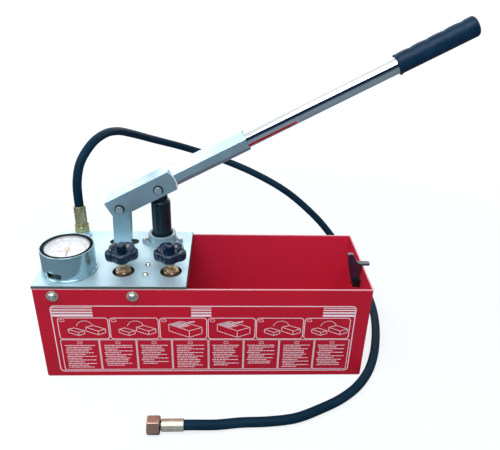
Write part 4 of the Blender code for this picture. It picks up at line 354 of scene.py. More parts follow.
# Drawn steel inside the gauge, brushed round, and dark as painted shade, so that the cup's slot reads as an
# opening.
SHADED_CASE_STEEL = Finish(
    "case_steel_painted_shade", "steel", "#566066", "#444C52", 0.42, metallic=0.8, cloud_mm=6.0,
    stretch=(0.2, 0.2, 1.0))
# The bright ring that lines the gauge's wall above the dial.
BRIGHT_LINING = Finish(
    "bright_gauge_lining", "steel", "#E3EBEF", "#CBD6DD", 0.30, metallic=0.6, cloud_mm=8.0, relief_mm=0.004,
    stretch=(0.2, 0.2, 1.0))
# Turned free-cutting brass: fine tool marks round the axis.
TURNED_BRASS = Finish(
    "turned_brass", "brass", "#C4B48C", "#95835C", 0.26, metallic=1.0, cloud_mm=6.0, grain_mm=0.35,
    relief_mm=0.012, stretch=(0.15, 0.15, 1.0))
# Polished brass on the needle's hub keeps its yellow.
BRIGHT_BRASS = Finish(
    "bright_hub_brass", "brass", "#D9A85C", "#B9853C", 0.20, metallic=1.0, cloud_mm=3.0, grain_mm=0.3,
    relief_mm=0.006)
# The cast block under the deck is dark as painted shade, so that the deck's holes read as gaps.
SHADED_CAST_BLOCK = Finish(
    "cast_brass_painted_shade", "brass", "#4A4234", "#352F27", 0.45, metallic=0.7, cloud_mm=8.0, grain_mm=0.8,
    relief_mm=0.04)
# Yellow chromate over zinc: olive to straw with a faint pink bloom.
YELLOW_ZINC = Finish(
    "yellow_chromate_zinc", "yellow_zinc", "#B4B684", "#9B9068", 0.28, metallic=0.85, cloud_mm=7.0,
    cloud_share=0.8, relief_mm=0.012)
# The near ferrule's chromate is a browner straw, with clouds that run along its flutes.
FLUTED_ZINC = Finish(
    "fluted_straw_zinc", "yellow_zinc", "#CFC39C", "#A08A66", 0.27, metallic=0.9, cloud_share=0.8,
    relief_mm=0.004, stretch=(1.0, 1.0, 0.1))
# Pale straw chromate on the ferrule at the far end.
STRAW_ZINC = Finish(
    "straw_chromate_zinc", "yellow_zinc", "#D6D5C2", "#BFB699", 0.34, metallic=0.7, cloud_mm=9.0,
    cloud_share=0.8, relief_mm=0.008, stretch=(1.0, 0.2, 0.2))
# The packing nuts' brass has gone brown, under an oily film that spreads the light.
BROWN_BRASS = Finish("browned_brass", "brass", "#BFA388", "#937A60", 0.33, metallic=0.75, relief_mm=0.006)
# Bare forged steel gone copper-brown with oil.
BROWN_STEEL = Finish(
    "browned_steel", "nut_steel", "#C79F8B", "#A08E7E", 0.34, metallic=0.8, cloud_mm=9.0, cloud_share=0.9,
    grain_mm=0.6, relief_mm=0.02)
# Ground and oiled plain steel.
PLAIN_STEEL = Finish(
    "plain_steel", "steel", "#C3CFD5", "#A2AFB6", 0.32, metallic=0.85, grain_mm=0.4, relief_mm=0.012,
    stretch=(1.0, 0.2, 1.0))
# Drawn copper tube, lightly tarnished.
COPPER_TUBE = Finish(
    "drawn_copper", "copper", "#B9714F", "#8B4E36", 0.28, metallic=1.0, cloud_mm=12.0, grain_mm=0.6,
    relief_mm=0.008)
# Phenolic moulding: blue-black with a hard polish that picks up the softbox.
PHENOLIC = Finish("black_phenolic", "knob_plastic", "#051D34", "#0B2B45", 0.10, cloud_mm=14.0, grain_mm=1.2,
                  relief_mm=0.004, rough_spread=0.04)
# Stoved black lacquer on the catch: glassy on its upper faces.
BLACK_LACQUER = Finish(
    "black_stoved_lacquer", "knob_plastic", "#0A2136", "#122E45", 0.10, cloud_mm=10.0, grain_mm=1.5,
    rough_spread=0.08, specular=1.0, coat=1.0, coat_roughness=0.06)
# Black oxide on ground steel: almost black, with an oily sheen.
BLACK_OXIDE = Finish(
    "black_oxide_steel", "black_steel", "#16303A", "#22303C", 0.30, metallic=0.6, cloud_mm=20.0,
    relief_mm=0.006, stretch=(0.2, 0.2, 1.0))
# Moulded grip rubber: dull, with a fine spark-eroded texture.
GRIP_RUBBER = Finish(
    "moulded_grip_rubber", "black_rubber", "#06243B", "#0E3350", 0.40, cloud_mm=16.0, grain_mm=0.7,
    relief_mm=0.04, rough_spread=0.12, specular=0.15)
# Nitrile seals: smooth and almost without shine.
SEAL_RUBBER = Finish(
    "nitrile_rubber", "black_rubber", "#050D14", "#0A141D", 0.50, cloud_mm=9.0, specular=0.03)
# The hose's cloth-wrapped cover. Its real ribs of 1 mm are drawn twice as wide so that they show.
HOSE_COVER = HoseCover(
    "cloth_wrapped_hose", "hose_rubber", "#0A2536", "#143044", 0.45, cloud_mm=40.0, relief_mm=0.08,
    rough_spread=0.14, specular=0.05)
# Stoved white enamel on the dial: even, with a low gloss.
DIAL_ENAMEL = Finish(
    "white_dial_enamel", "dial_white", "#F1EFF2", "#E7E4EA", 0.38, cloud_mm=18.0, grain_mm=0.6,
    relief_mm=0.003)
# Pad-printed dial ink: matt, and grey rather than black where it lies thin.
DIAL_BLACK = Finish(
    "black_dial_ink", "dial_white", "#5E636E", "#6C717B", 0.5, cloud_mm=4.0, grain_mm=0.4, relief_mm=0.002)
# The same ink in red, for the marks of the limits.
DIAL_RED = Finish(
    "red_dial_ink", "dial_white", "#C23A4C", "#B02A3E", 0.5, cloud_mm=4.0, grain_mm=0.4, relief_mm=0.002)
# Flat float glass: clear, with a faint blue.
GAUGE_GLASS = ClearGlass(
    "gauge_glass", "gauge_glass", "#FBFDFE", "#FFFFFF", 0.01, cloud_mm=20.0, rough_spread=0.01)


# Shapes, worked out as whole arrays

# Slack for telling a profile's stretches apart, and a width across flats so large that a stretch stays round.
TINY = 0.000001
ROUND = 1.0
# The deck's top, and the gap that keeps neighbours apart.
DECK_TOP = 0.1723
CLEAR = 0.0003
# The bosses on the piston and on the link: bore, radius and half length.
PIN_BOSS: Point = (0.0063, 0.0095, 0.0157)


def show(name: str, data: bpy.types.ID) -> Piece:
    """A new object of the scene, with its data."""
    piece = bpy.data.objects.new(name, data)
    bpy.context.scene.collection.objects.link(piece)
    return piece


@dataclass
class Shape:
    """Points and the faces that join them, with a UV pair for each face corner if it has any."""

    points: Array
    faces: list[list[int]]
    uv: Array | None = None

    def __add__(self, other: "Shape") -> "Shape":
        """Both shapes as one, without UVs."""
        first = len(self.points)
        faces = self.faces + [[first + index for index in face] for face in other.faces]
        return Shape(np.vstack([self.points, other.points]), faces)

    def placed(self, turn: Array | None = None, at: Sequence[float] = (0.0, 0.0, 0.0)) -> "Shape":
        """The shape turned by a 3x3 matrix, then moved."""
        points = self.points if turn is None else self.points @ np.asarray(turn).T
        return Shape(points + np.asarray(at, float), self.faces, self.uv)

    def build(self, name: str, smooth: float = 32.0) -> Piece:
        """A closed mesh object at the origin: doubles merged, faces outwards, smooth below an angle.

        Args:
            name: The piece's name.
            smooth: The angle in degrees from which an edge stays sharp.

        Returns:
            The new object, not yet riding on a body.
        """
        mesh = bpy.data.meshes.new(name)
        mesh.from_pydata(self.points.tolist(), [], self.faces)
        if self.uv is not None:
            layer = mesh.uv_layers.new(name="along")
            layer.data.foreach_set("uv", self.uv.astype(np.float32).ravel())
        tidy(mesh, smooth)
        return flatten(show(name, mesh))


def tidy(mesh: bpy.types.Mesh, smooth: float) -> None:
    """Merges a mesh's doubles, turns its faces outwards and smooths it below an angle in degrees."""
    form = bmesh.new()
    form.from_mesh(mesh)
    bmesh.ops.remove_doubles(form, verts=form.verts, dist=0.000002)
    bmesh.ops.dissolve_degenerate(form, edges=form.edges, dist=0.000001)
    bmesh.ops.recalc_face_normals(form, faces=form.faces)
    form.to_mesh(mesh)
    form.free()
    mesh.shade_smooth()
    mesh.set_sharp_from_angle(angle=math.radians(smooth))


def bake(piece: Piece) -> Piece:
    """Turns a piece's modifiers into its mesh."""
    seen = piece.evaluated_get(bpy.context.evaluated_depsgraph_get())
    piece.data = bpy.data.meshes.new_from_object(seen)
    piece.modifiers.clear()
    return piece


def cut_out(piece: Piece, cutter: Piece) -> None:
    """Cuts a closed object out of a piece, and removes the cutter."""
    boolean = piece.modifiers.new("opening", "BOOLEAN")
    boolean.object = cutter
    boolean.operation = "DIFFERENCE"
    boolean.solver = "EXACT"
    bake(piece)
    bpy.data.objects.remove(cutter)


def break_edges(piece: Piece, width: float, angle: float) -> None:
    """Rounds a piece's sharp edges.

    Args:
        piece: The closed object.
        width: How wide each edge is broken.
        angle: The angle in degrees from which an edge counts as sharp.
    """
    bevel = piece.modifiers.new("broken_edges", "BEVEL")
    bevel.width = width
    bevel.segments = 2
    bevel.limit_method = "ANGLE"
    bevel.angle_limit = math.radians(angle)
    bake(piece)


def flatten(piece: Piece) -> Piece:
    """Bends a piece's normals towards its larger faces, so that flats stay flat beside small fillets."""
    weighted = piece.modifiers.new("larger_faces_first", "WEIGHTED_NORMAL")
    weighted.mode = "FACE_AREA"
    weighted.keep_sharp = True
    return bake(piece)


def unit(vectors: Array) -> Array:
    """Vectors divided by their lengths."""
    return vectors / np.maximum(np.linalg.norm(vectors, axis=-1, keepdims=True), 1e-12)


def fillet(points: Sequence[Sequence[float]], radii: float | Sequence[float], steps: int = 4,
           closed: bool = False) -> Array:
    """A line with its corners rounded by arcs.

    Each corner's arc is centred on the corner's bisector, at the radius over the sine of half its
    angle, and its points are the two touching directions mixed by the sines of their shares.

    Args:
        points: The line's corners, in two or three dimensions.
        radii: One radius, or one for each corner.
        steps: Parts of each arc.
        closed: Whether the line comes back to its first corner.

    Returns:
        The rounded line's points.
    """
    corner = np.asarray(points, float)
    before = np.roll(corner, 1, 0) - corner
    after = np.roll(corner, -1, 0) - corner
    room = 0.49 * np.minimum(np.linalg.norm(before, axis=1), np.linalg.norm(after, axis=1))
    before, after = unit(before), unit(after)
    half = np.arccos(np.clip((before * after).sum(1), -1.0, 1.0)) / 2
    half = np.clip(half, 1e-3, math.pi / 2 - 1e-4)
    reach = np.minimum(np.broadcast_to(radii, len(corner)) / np.tan(half), room)
    radius = reach * np.tan(half)
    centre = corner + unit(before + after) * (radius / np.sin(half))[:, None]
    start = corner + before * reach[:, None] - centre
    end = corner + after * reach[:, None] - centre
    bend = (math.pi - 2 * half)[:, None, None]
    share = np.linspace(0.0, 1.0, steps + 1)[None, :, None]
    arcs = (start[:, None] * np.sin((1 - share) * bend) + end[:, None] * np.sin(share * bend)) / np.sin(bend)
    arcs = arcs + centre[:, None]
    if not closed:
        arcs[0] = corner[0]
        arcs[-1] = corner[-1]
    return arcs.reshape(-1, corner.shape[1])


def line(corners: Sequence[Sequence[float]], steps: int = 4, closed: bool = False) -> Array:
    """A plane line whose corners are (across, up), or (across, up, radius) where they are rounded."""
    radii = [corner[2] if len(corner) > 2 else 0.0 for corner in corners]
    return fillet([corner[:2] for corner in corners], radii, steps, closed)


def box(left: float, right: float, low: float, high: float) -> list[Pair]:
    """A rectangle's corners, counter-clockwise."""
    return [(left, low), (right, low), (right, high), (left, high)]


def skin(grid: Array, around: bool = True, along: bool = False, caps: bool = False,
         uv_scale: float | None = None) -> Shape:
    """The faces between a grid's neighbouring points.

    Args:
        grid: Points by row and column.
        around: Whether the last row joins the first.
        along: Whether the last column joins the first.
        caps: Whether the first and last columns are closed by flat faces.
        uv_scale: The columns' length in V, for a UV map whose U goes once round the rows.

    Returns:
        The shape, with UVs if they were asked for.
    """
    rows, columns = grid.shape[:2]
    index = np.arange(rows * columns).reshape(rows, columns)
    ends = [index[:, 0].tolist(), index[::-1, -1].tolist()] if caps else []
    if around:
        index = np.vstack([index, index[:1]])
    if along:
        index = np.hstack([index, index[:, :1]])
    quads = np.stack([index[:-1, :-1], index[1:, :-1], index[1:, 1:], index[:-1, 1:]], -1).reshape(-1, 4)
    uv = None
    if uv_scale is not None:
        u, v = np.meshgrid(
            np.linspace(0.0, 1.0, index.shape[0]), np.linspace(0.0, uv_scale, index.shape[1]), indexing="ij")
        uv = np.stack([np.stack([item[:-1, :-1], item[1:, :-1], item[1:, 1:], item[:-1, 1:]], -1).ravel()
                       for item in (u, v)], -1)
        uv = np.vstack([uv, np.zeros((sum(map(len, ends)), 2))])
    return Shape(grid.reshape(-1, 3), quads.tolist() + ends, uv)


def revolve(profile: Array, sides: int = 96, flats: float | Array | None = None,
            ripple: tuple[int, float | Array] | None = None) -> Shape:
    """A turned solid about Z: each profile point goes round at its radius.

    A six-sided stretch keeps the smaller of that radius and the hexagon's, half its width across
    flats over the cosine of the angle from the nearest flat. A ripple adds a cosine round the axis.

    Args:
        profile: (radius, height) points. The line closes on itself where it starts off the axis.
        sides: Steps round the axis.
        flats: Half the width across flats, for the whole profile or for each point.
        ripple: How many waves go round, and how high they are.

    Returns:
        The closed shape.
    """
    profile = np.asarray(profile, float)
    angle = np.linspace(0.0, math.tau, sides, endpoint=False)[:, None]
    radius = np.broadcast_to(profile[None, :, 0], (sides, len(profile)))
    if flats is not None:
        wedge = np.mod(angle + math.pi / 6, math.pi / 3) - math.pi / 6
        radius = np.minimum(radius, np.broadcast_to(flats, len(profile))[None] / np.cos(wedge))
    if ripple is not None:
        radius = radius + np.broadcast_to(ripple[1], len(profile))[None] * np.cos(ripple[0] * angle)
    grid = np.stack([radius * np.cos(angle), radius * np.sin(angle),
                     np.broadcast_to(profile[None, :, 1], radius.shape)], -1)
    return skin(grid, along=bool(profile[0, 0] > 1e-7))


def ring(inner: float, outer: float, low: float, high: float, edge: float) -> Array:
    """The closed profile of a ring with rounded edges."""
    return fillet([(outer, low), (outer, high), (inner, high), (inner, low)], edge, closed=True)


def offset(outline: Array, inset: float) -> Array:
    """A closed plane outline drawn in along the mean of its sides' normals."""
    before = unit(outline - np.roll(outline, 1, 0))
    after = unit(np.roll(outline, -1, 0) - outline)
    mean = unit(before + after)
    normal = np.stack([-mean[:, 1], mean[:, 0]], -1)
    stretch = np.maximum((mean * after).sum(1), 0.5)
    return outline + normal * (inset / stretch)[:, None]


def slab(outline: Array, low: float, high: float, edge: float, steps: int = 4) -> Shape:
    """A plate over a counter-clockwise outline, its edges rounded by a quarter circle.

    Args:
        outline: The plate's outline in its own plane.
        low: Its underside.
        high: Its top.
        edge: The radius of its rounded edges.
        steps: Parts of each rounded edge.

    Returns:
        The closed shape, along Z.
    """
    angle = np.linspace(0.0, math.pi / 2, steps + 1)
    insets = np.concatenate([edge * (1 - np.sin(angle)), edge * (1 - np.cos(angle))])
    heights = np.concatenate([low + edge * (1 - np.cos(angle)), high - edge * (1 - np.sin(angle))])
    grid = np.stack([np.column_stack([offset(outline, inset), np.full(len(outline), height)])
                     for inset, height in zip(insets, heights)], 1)
    return skin(grid, caps=True)


def arc(centre: Sequence[float], radius: float, start: float, end: float, steps: int) -> Array:
    """Points of a plane arc between two angles in degrees."""
    angle = np.radians(np.linspace(start, end, steps + 1))
    return np.asarray(centre, float) + radius * np.stack([np.cos(angle), np.sin(angle)], -1)


def prisms(quads: Array, push: Sequence[float]) -> Shape:
    """A flat bar for each quad, pushed out along one direction.

    Args:
        quads: Four corners for each bar.
        push: From each quad to its far face.

    Returns:
        Closed bars, as one shape.
    """
    quads = np.asarray(quads, float)
    points = np.concatenate([quads, quads + np.asarray(push, float)], 1)
    pattern = np.array([(3, 2, 1, 0), (4, 5, 6, 7), (0, 1, 5, 4), (1, 2, 6, 5), (2, 3, 7, 6), (3, 0, 4, 7)])
    faces = (np.arange(len(quads))[:, None, None] * 8 + pattern).reshape(-1, 4)
    return Shape(points.reshape(-1, 3), faces.tolist())


def strokes(segments: Array, width: float) -> Array:
    """Plane quads of one width along segments, as (segment, corner, axis)."""
    segments = np.asarray(segments, float)
    run = unit(segments[:, 1] - segments[:, 0])
    side = np.stack([-run[:, 1], run[:, 0]], -1) * width / 2
    start, end = segments[:, 0] - run * width / 2, segments[:, 1] + run * width / 2
    return np.stack([start - side, end - side, end + side, start + side], 1)


def sweep(path: Array, radius: float | Array, sides: int = 40) -> Shape:
    """A round tube along a path, its ends closed.

    Each ring's frame is the last one turned by the least that brings it square to the path, so the
    tube doesn't twist.

    Args:
        path: The centreline's points.
        radius: One radius, or one for each point.
        sides: Steps round the tube.

    Returns:
        The tube, with a UV map whose V is in metres along it.
    """
    path = np.asarray(path, float)
    run = unit(np.gradient(path, axis=0))
    first = unit(np.cross(run[0], (0.0, 1.0, 0.3)))
    sides_of_rings = accumulate(run[1:], lambda last, way: unit(last - way * (last @ way)), initial=first)
    side = np.array(list(sides_of_rings))
    other = np.cross(run, side)
    angle = np.linspace(0.0, math.tau, sides, endpoint=False)[:, None, None]
    reach = np.broadcast_to(radius, len(path))[None, :, None]
    grid = path[None] + reach * (np.cos(angle) * side[None] + np.sin(angle) * other[None])
    length = np.linalg.norm(np.diff(path, axis=0), axis=1).sum()
    return skin(grid, caps=True, uv_scale=float(length))


def smooth_route(points: Sequence[Point], spacing: float) -> Array:
    """Even points on a Catmull-Rom curve through a cord's points.

    Each stretch is a Hermite cubic whose knots are spaced by the square roots of the gaps. The two end
    stretches are straight.

    Args:
        points: The route.
        spacing: The distance between the new points.

    Returns:
        The curve's points, ends included.
    """
    spots = np.asarray(points, float)
    gap = np.sqrt(np.linalg.norm(np.diff(spots, axis=0), axis=1))[:, None]
    before, start, end, after = spots[:-3], spots[1:-2], spots[2:-1], spots[3:]
    first, mid, last = gap[:-2], gap[1:-1], gap[2:]
    leave = ((start - before) / first - (end - before) / (first + mid) + (end - start) / mid) * mid
    reach = ((end - start) / mid - (after - start) / (mid + last) + (after - end) / last) * mid
    t = np.linspace(0.0, 1.0, 24, endpoint=False)[None, :, None]
    start, end, leave, reach = (item[:, None] for item in (start, end, leave, reach))
    curve = (start * (2 * t ** 3 - 3 * t ** 2 + 1) + end * (3 * t ** 2 - 2 * t ** 3)
             + leave * (t ** 3 - 2 * t ** 2 + t) + reach * (t ** 3 - t ** 2)).reshape(-1, 3)
    fine = np.vstack([spots[:1], curve, spots[-2:]])
    along = np.concatenate([[0.0], np.cumsum(np.linalg.norm(np.diff(fine, axis=0), axis=1))])
    goals = np.linspace(0.0, along[-1], round(along[-1] / spacing) + 1)
    return np.stack([np.interp(goals, along, fine[:, axis]) for axis in range(3)], -1)


def along_x(shape: Shape) -> Shape:
    """A shape about Z laid along X."""
    return Shape(shape.points[:, [2, 0, 1]], shape.faces, shape.uv)


def along_y(shape: Shape) -> Shape:
    """A shape about Z laid along Y."""
    return Shape(shape.points[:, [1, 2, 0]], shape.faces, shape.uv)


def upright(shape: Shape) -> Shape:
    """A flat shape about Z stood up, so that its own Y points up and its Z points to -Y."""
    return Shape(np.stack([shape.points[:, 0], -shape.points[:, 2], shape.points[:, 1]], -1), shape.faces)


def hexagon_corner(half: float) -> float:
    """The radius of a hexagon's corners, from half its width across flats."""
    return half * 2 / math.sqrt(3.0)


def turn_y(degrees: float) -> Array:
    """The matrix that lifts +X towards +Z by an angle."""
    sine, cosine = math.sin(math.radians(degrees)), math.cos(math.radians(degrees))
    return np.array([(cosine, 0.0, -sine), (0.0, 1.0, 0.0), (sine, 0.0, cosine)])


def turn_z(degrees: float) -> Array:
    """The matrix that turns +X towards +Y by an angle."""
    sine, cosine = math.sin(math.radians(degrees)), math.cos(math.radians(degrees))
    return np.array([(cosine, -sine, 0.0), (sine, cosine, 0.0), (0.0, 0.0, 1.0)])


# Pieces

def mount(piece: Piece, finish: Finish, *nodes: str, body: Body = Body.PUMP) -> Piece:
    """Gives a piece its finish, its body and the CAD nodes that it stands for.

    Args:
        piece: The finished object, at the origin.
        finish: What it is made of.
        nodes: The CAD nodes that it replaces.
        body: The body that it rides on.

    Returns:
        The piece.
    """
    piece.data.materials.clear()
    piece.data.materials.append(finish.material())
    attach(piece, body.value)
    if nodes:
        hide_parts(*nodes)
    LOG.info("%s: %d faces, %s, on %s", piece.name, len(piece.data.polygons), finish.name, body.value)
    return piece


def remake(node: str, shape: Shape, finish: Finish, body: Body = Body.PUMP, smooth: float = 32.0) -> Piece:
    """A new shape in a CAD node's place.

    Args:
        node: The CAD node.
        shape: The shape, in the model's frame.
        finish: What it is made of.
        body: The node's body.
        smooth: The angle in degrees from which an edge stays sharp.

    Returns:
        The piece that replaces the node.
    """
    return mount(shape.build(node + "_dressed", smooth), finish, node, body=body)


def refine(node: str, finish: Finish, body: Body = Body.PUMP, edge: float = 0.0003,
           smooth: float = 32.0) -> Piece:
    """A CAD node's own shape with its edges broken and its curves smooth.

    Args:
        node: The CAD node.
        finish: What it is made of.
        body: The node's body.
        edge: How wide its sharp edges are broken, or zero.
        smooth: The angle in degrees from which an edge stays sharp.

    Returns:
        The piece that replaces the node.
    """
    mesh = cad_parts[node].data.copy()
    mesh.name = node + "_dressed"
    form = bmesh.new()
    form.from_mesh(mesh)
    bmesh.ops.remove_doubles(form, verts=form.verts, dist=0.000002)
    bmesh.ops.dissolve_limit(form, angle_limit=math.radians(0.4), verts=form.verts, edges=form.edges)
    form.to_mesh(mesh)
    form.free()
    piece = show(mesh.name, mesh)
    if edge > 0.0:
        break_edges(piece, edge, 32.0)
    tidy(piece.data, smooth)
    return mount(flatten(piece), finish, node, body=body)


@dataclass(frozen=True)
class Lamp:
    """A square soft lamp."""

    name: str
    size: float
    place: Point
    watts: float

    def build(self, target: Point) -> None:
        """Hangs the lamp so that it faces a target."""
        data = bpy.data.lights.new(self.name, "AREA")
        data.size = self.size
        data.energy = self.watts
        lamp = show(self.name, data)
        lamp.location = self.place
        lamp.rotation_mode = "QUATERNION"
        lamp.rotation_quaternion = (Vector(target) - Vector(self.place)).to_track_quat("-Z", "Y")


@dataclass
class Studio:
    """The camera, the floor and the light.

    The camera's place and directions were worked out from the tank's straight edges in the photograph.
    """

    lens: float = 37.496
    sensor: float = 36.0
    stand: Point = (0.02937, -0.71745, 0.60316)
    right: Point = (0.99887201, -0.03694316, 0.02983151)
    up: Point = (-0.00939255, 0.46211037, 0.88677268)
    forward: Point = (0.04654563, 0.8860526, -0.46124212)
    middle: Point = (0.0, 0.0, 0.15)
    floor_half: float = 15.0
    floor_colour: str = "#747E88"
    floor_glow: float = 0.3
    seen_glow: float = 0.48
    far_glow: float = 0.22
    far_from: float = 0.5
    far_to: float = 2.2
    sky_colour: str = "#E9F2FB"
    sky_strength: float = 0.55
    mirror_white: str = "#FFFFFF"
    mirror_side: str = "#849DB1"
    mirror_front: str = "#142740"
    back_share: float = 0.9
    bright_span: Pair = (-0.15, 0.55)
    front_span: Pair = (0.15, 0.7)
    high_span: Pair = (0.36, 0.6)
    lamps: tuple[Lamp, ...] = (
        Lamp("overhead", 1.3, (-0.15, -0.95, 1.75), 27.0),
        Lamp("left", 0.9, (-1.6, -0.4, 1.5), 13.0),
        Lamp("behind", 2.4, (-0.4, 2.2, 1.25), 15.0),
        Lamp("low_behind", 1.4, (-0.8, 2.2, 0.5), 5.6),
        Lamp("window", 0.35, (0.85, 1.9, 0.62), 3.2),
    )

    def build(self) -> None:
        """Makes the studio."""
        self.camera()
        self.floor()
        self.sky()
        for lamp in self.lamps:
            lamp.build(self.middle)
        bpy.context.scene.view_settings.view_transform = "Standard"
        LOG.info("studio ready with %d lamps", len(self.lamps))

    def camera(self) -> None:
        """Puts the camera where the picture was taken from, at its angle."""
        data = bpy.data.cameras.new("camera")
        data.lens = self.lens
        data.sensor_width = self.sensor
        camera = show("camera", data)
        place = np.eye(4)
        place[:3] = np.column_stack([self.right, self.up, -np.array(self.forward), self.stand])
        camera.matrix_world = Matrix(place.tolist())
        bpy.context.scene.camera = camera

    def floor(self) -> None:
        """A pale floor that keeps the shadow. It glows, more so far off, but is grey in mirrors."""
        half = self.floor_half
        mesh = bpy.data.meshes.new("floor")
        mesh.from_pydata([(-half, -half, 0.0), (half, -half, 0.0), (half, half, 0.0), (-half, half, 0.0)], [],
                         [(0, 1, 2, 3)])
        floor = show("floor", mesh)
        material = bpy.data.materials.new("pale_floor")
        material.use_nodes = True
        tree = material.node_tree
        shader = tree.nodes["Principled BSDF"]
        shader.inputs["Base Color"].default_value = srgb(self.floor_colour)
        shader.inputs["Roughness"].default_value = 0.9
        shader.inputs["Specular IOR Level"].default_value = 0.0
        shader.inputs["Emission Color"].default_value = (1.0, 1.0, 1.0, 1.0)
        rays = add(tree, "LightPath")
        seen = add(tree, "Math", {0: rays.outputs["Is Camera Ray"], 1: rays.outputs["Is Transmission Ray"]},
                   operation="MAXIMUM")
        place = add(tree, "TexCoord").outputs["Object"]
        reach = add(tree, "VectorMath", {0: place}, operation="LENGTH").outputs["Value"]
        spread = add(tree, "MapRange", {
            "Value": reach, "From Min": self.far_from, "From Max": self.far_to, "To Min": self.seen_glow,
            "To Max": self.seen_glow + self.far_glow}, interpolation_type="SMOOTHSTEP")
        glow = add(tree, "Math", {0: seen, 1: spread, 2: self.floor_glow}, operation="MULTIPLY_ADD")
        lift = add(tree, "Math", {0: rays.outputs["Is Glossy Ray"], 1: -self.floor_glow, 2: glow},
                   operation="MULTIPLY_ADD")
        tree.links.new(lift.outputs[0], shader.inputs["Emission Strength"])
        mesh.materials.append(material)

    def sky(self) -> None:
        """Even cool light, white where it is seen. Mirrors see it bright above and behind, grey at the
        sides and dark blue low in front."""
        world = bpy.data.worlds.new("studio_sky")
        bpy.context.scene.world = world
        world.use_nodes = True
        tree = world.node_tree
        tree.nodes.clear()
        ways = add(tree, "SeparateXYZ", {0: add(tree, "TexCoord").outputs["Generated"]})
        height = add(tree, "Math", {0: ways.outputs["Y"], 1: self.back_share, 2: ways.outputs["Z"]},
                     operation="MULTIPLY_ADD")
        bright = add(tree, "MapRange", {"Value": height, "From Min": self.bright_span[0],
                                        "From Max": self.bright_span[1]}, interpolation_type="SMOOTHSTEP")
        open_sky = add(tree, "Mix", {
            0: bright, 6: srgb(self.mirror_side), 7: srgb(self.mirror_white)}, data_type="RGBA")
        ahead = add(tree, "Math", {0: ways.outputs["Y"], 1: -1.0}, operation="MULTIPLY")
        front = add(tree, "MapRange", {"Value": ahead, "From Min": self.front_span[0],
                                       "From Max": self.front_span[1]}, interpolation_type="SMOOTHSTEP")
        high = add(tree, "MapRange", {
            "Value": ways.outputs["Z"], "From Min": self.high_span[0], "From Max": self.high_span[1],
            "To Min": 1.0, "To Max": 0.0}, interpolation_type="SMOOTHSTEP")
        band = add(tree, "Math", {0: front, 1: high}, operation="MULTIPLY")
        mirrored = add(
            tree, "Mix", {0: band, 6: open_sky.outputs[2], 7: srgb(self.mirror_front)}, data_type="RGBA")
        light = add(tree, "Background", {"Color": srgb(self.sky_colour), "Strength": self.sky_strength})
        white = add(tree, "Background", {"Color": srgb(self.mirror_white), "Strength": 1.0})
        shown = add(tree, "Background", {"Color": mirrored.outputs[2], "Strength": 1.0})
        rays = add(tree, "LightPath")
        either = add(tree, "MixShader", {0: rays.outputs["Is Glossy Ray"], 1: light, 2: shown})
        direct = add(tree, "Math", {0: rays.outputs["Is Camera Ray"], 1: rays.outputs["Is Transmission Ray"]},
                     operation="MAXIMUM")
        mixed = add(tree, "MixShader", {0: direct, 1: either, 2: white})
        add(tree, "OutputWorld", {"Surface": mixed})


@dataclass
class Tank:
    """The folded sheet tank with its printed front."""

    half_length: float = 0.25
    half_width: float = 0.085
    height: float = 0.167
    wall: float = 0.002
    fold: float = 0.003
    rim_edge: float = 0.0006
    least_corner: float = 0.0006
    floor_flap: float = 0.02

    def build(self) -> None:
        """Makes the tank and its print."""
        mount(self.shell().build("water_tank"), RED_COAT, "tank")
        PrintedFront().build()

    def outline(self, inset: float) -> Array:
        """The tank's plan at an inset, with corners that keep the sheet's fold."""
        x, y = self.half_length - inset, self.half_width - inset
        radius = max(self.fold - inset, self.least_corner)
        return fillet([(x, -y), (x, y), (-x, y), (-x, -y)], radius, closed=True)

    def shell(self) -> Shape:
        """Outside, rim and inside as one skin: plans at the insets and heights of a rounded profile."""
        profile = line([
            (self.floor_flap, 0.0), (0.0, 0.0, self.fold), (0.0, self.height, self.rim_edge),
            (self.wall, self.height, self.rim_edge), (self.wall, self.wall, self.fold - self.wall),
            (self.floor_flap, self.wall)])
        plans = [(self.outline(inset), height) for inset, height in profile]
        grid = np.stack([np.column_stack([plan, np.full(len(plan), height)]) for plan, height in plans], 1)
        return skin(grid, caps=True)


@dataclass(frozen=True)
class BoxRow:
    """A row of rounded frames, by its left edge and every frame's right edge."""

    left: float
    rights: tuple[float, ...]
    low: float
    high: float
    gap: float
    corner: float
    line: float

    def spans(self) -> list[Pair]:
        """The left and right edges of the row's frames."""
        lefts = [self.left] + [right + self.gap for right in self.rights[:-1]]
        return list(zip(lefts, self.rights))

    def frames(self) -> list[tuple[float, ...]]:
        """Left, right, low, high, corner and line width of every frame."""
        return [(left, right, self.low, self.high, self.corner, self.line) for left, right in self.spans()]


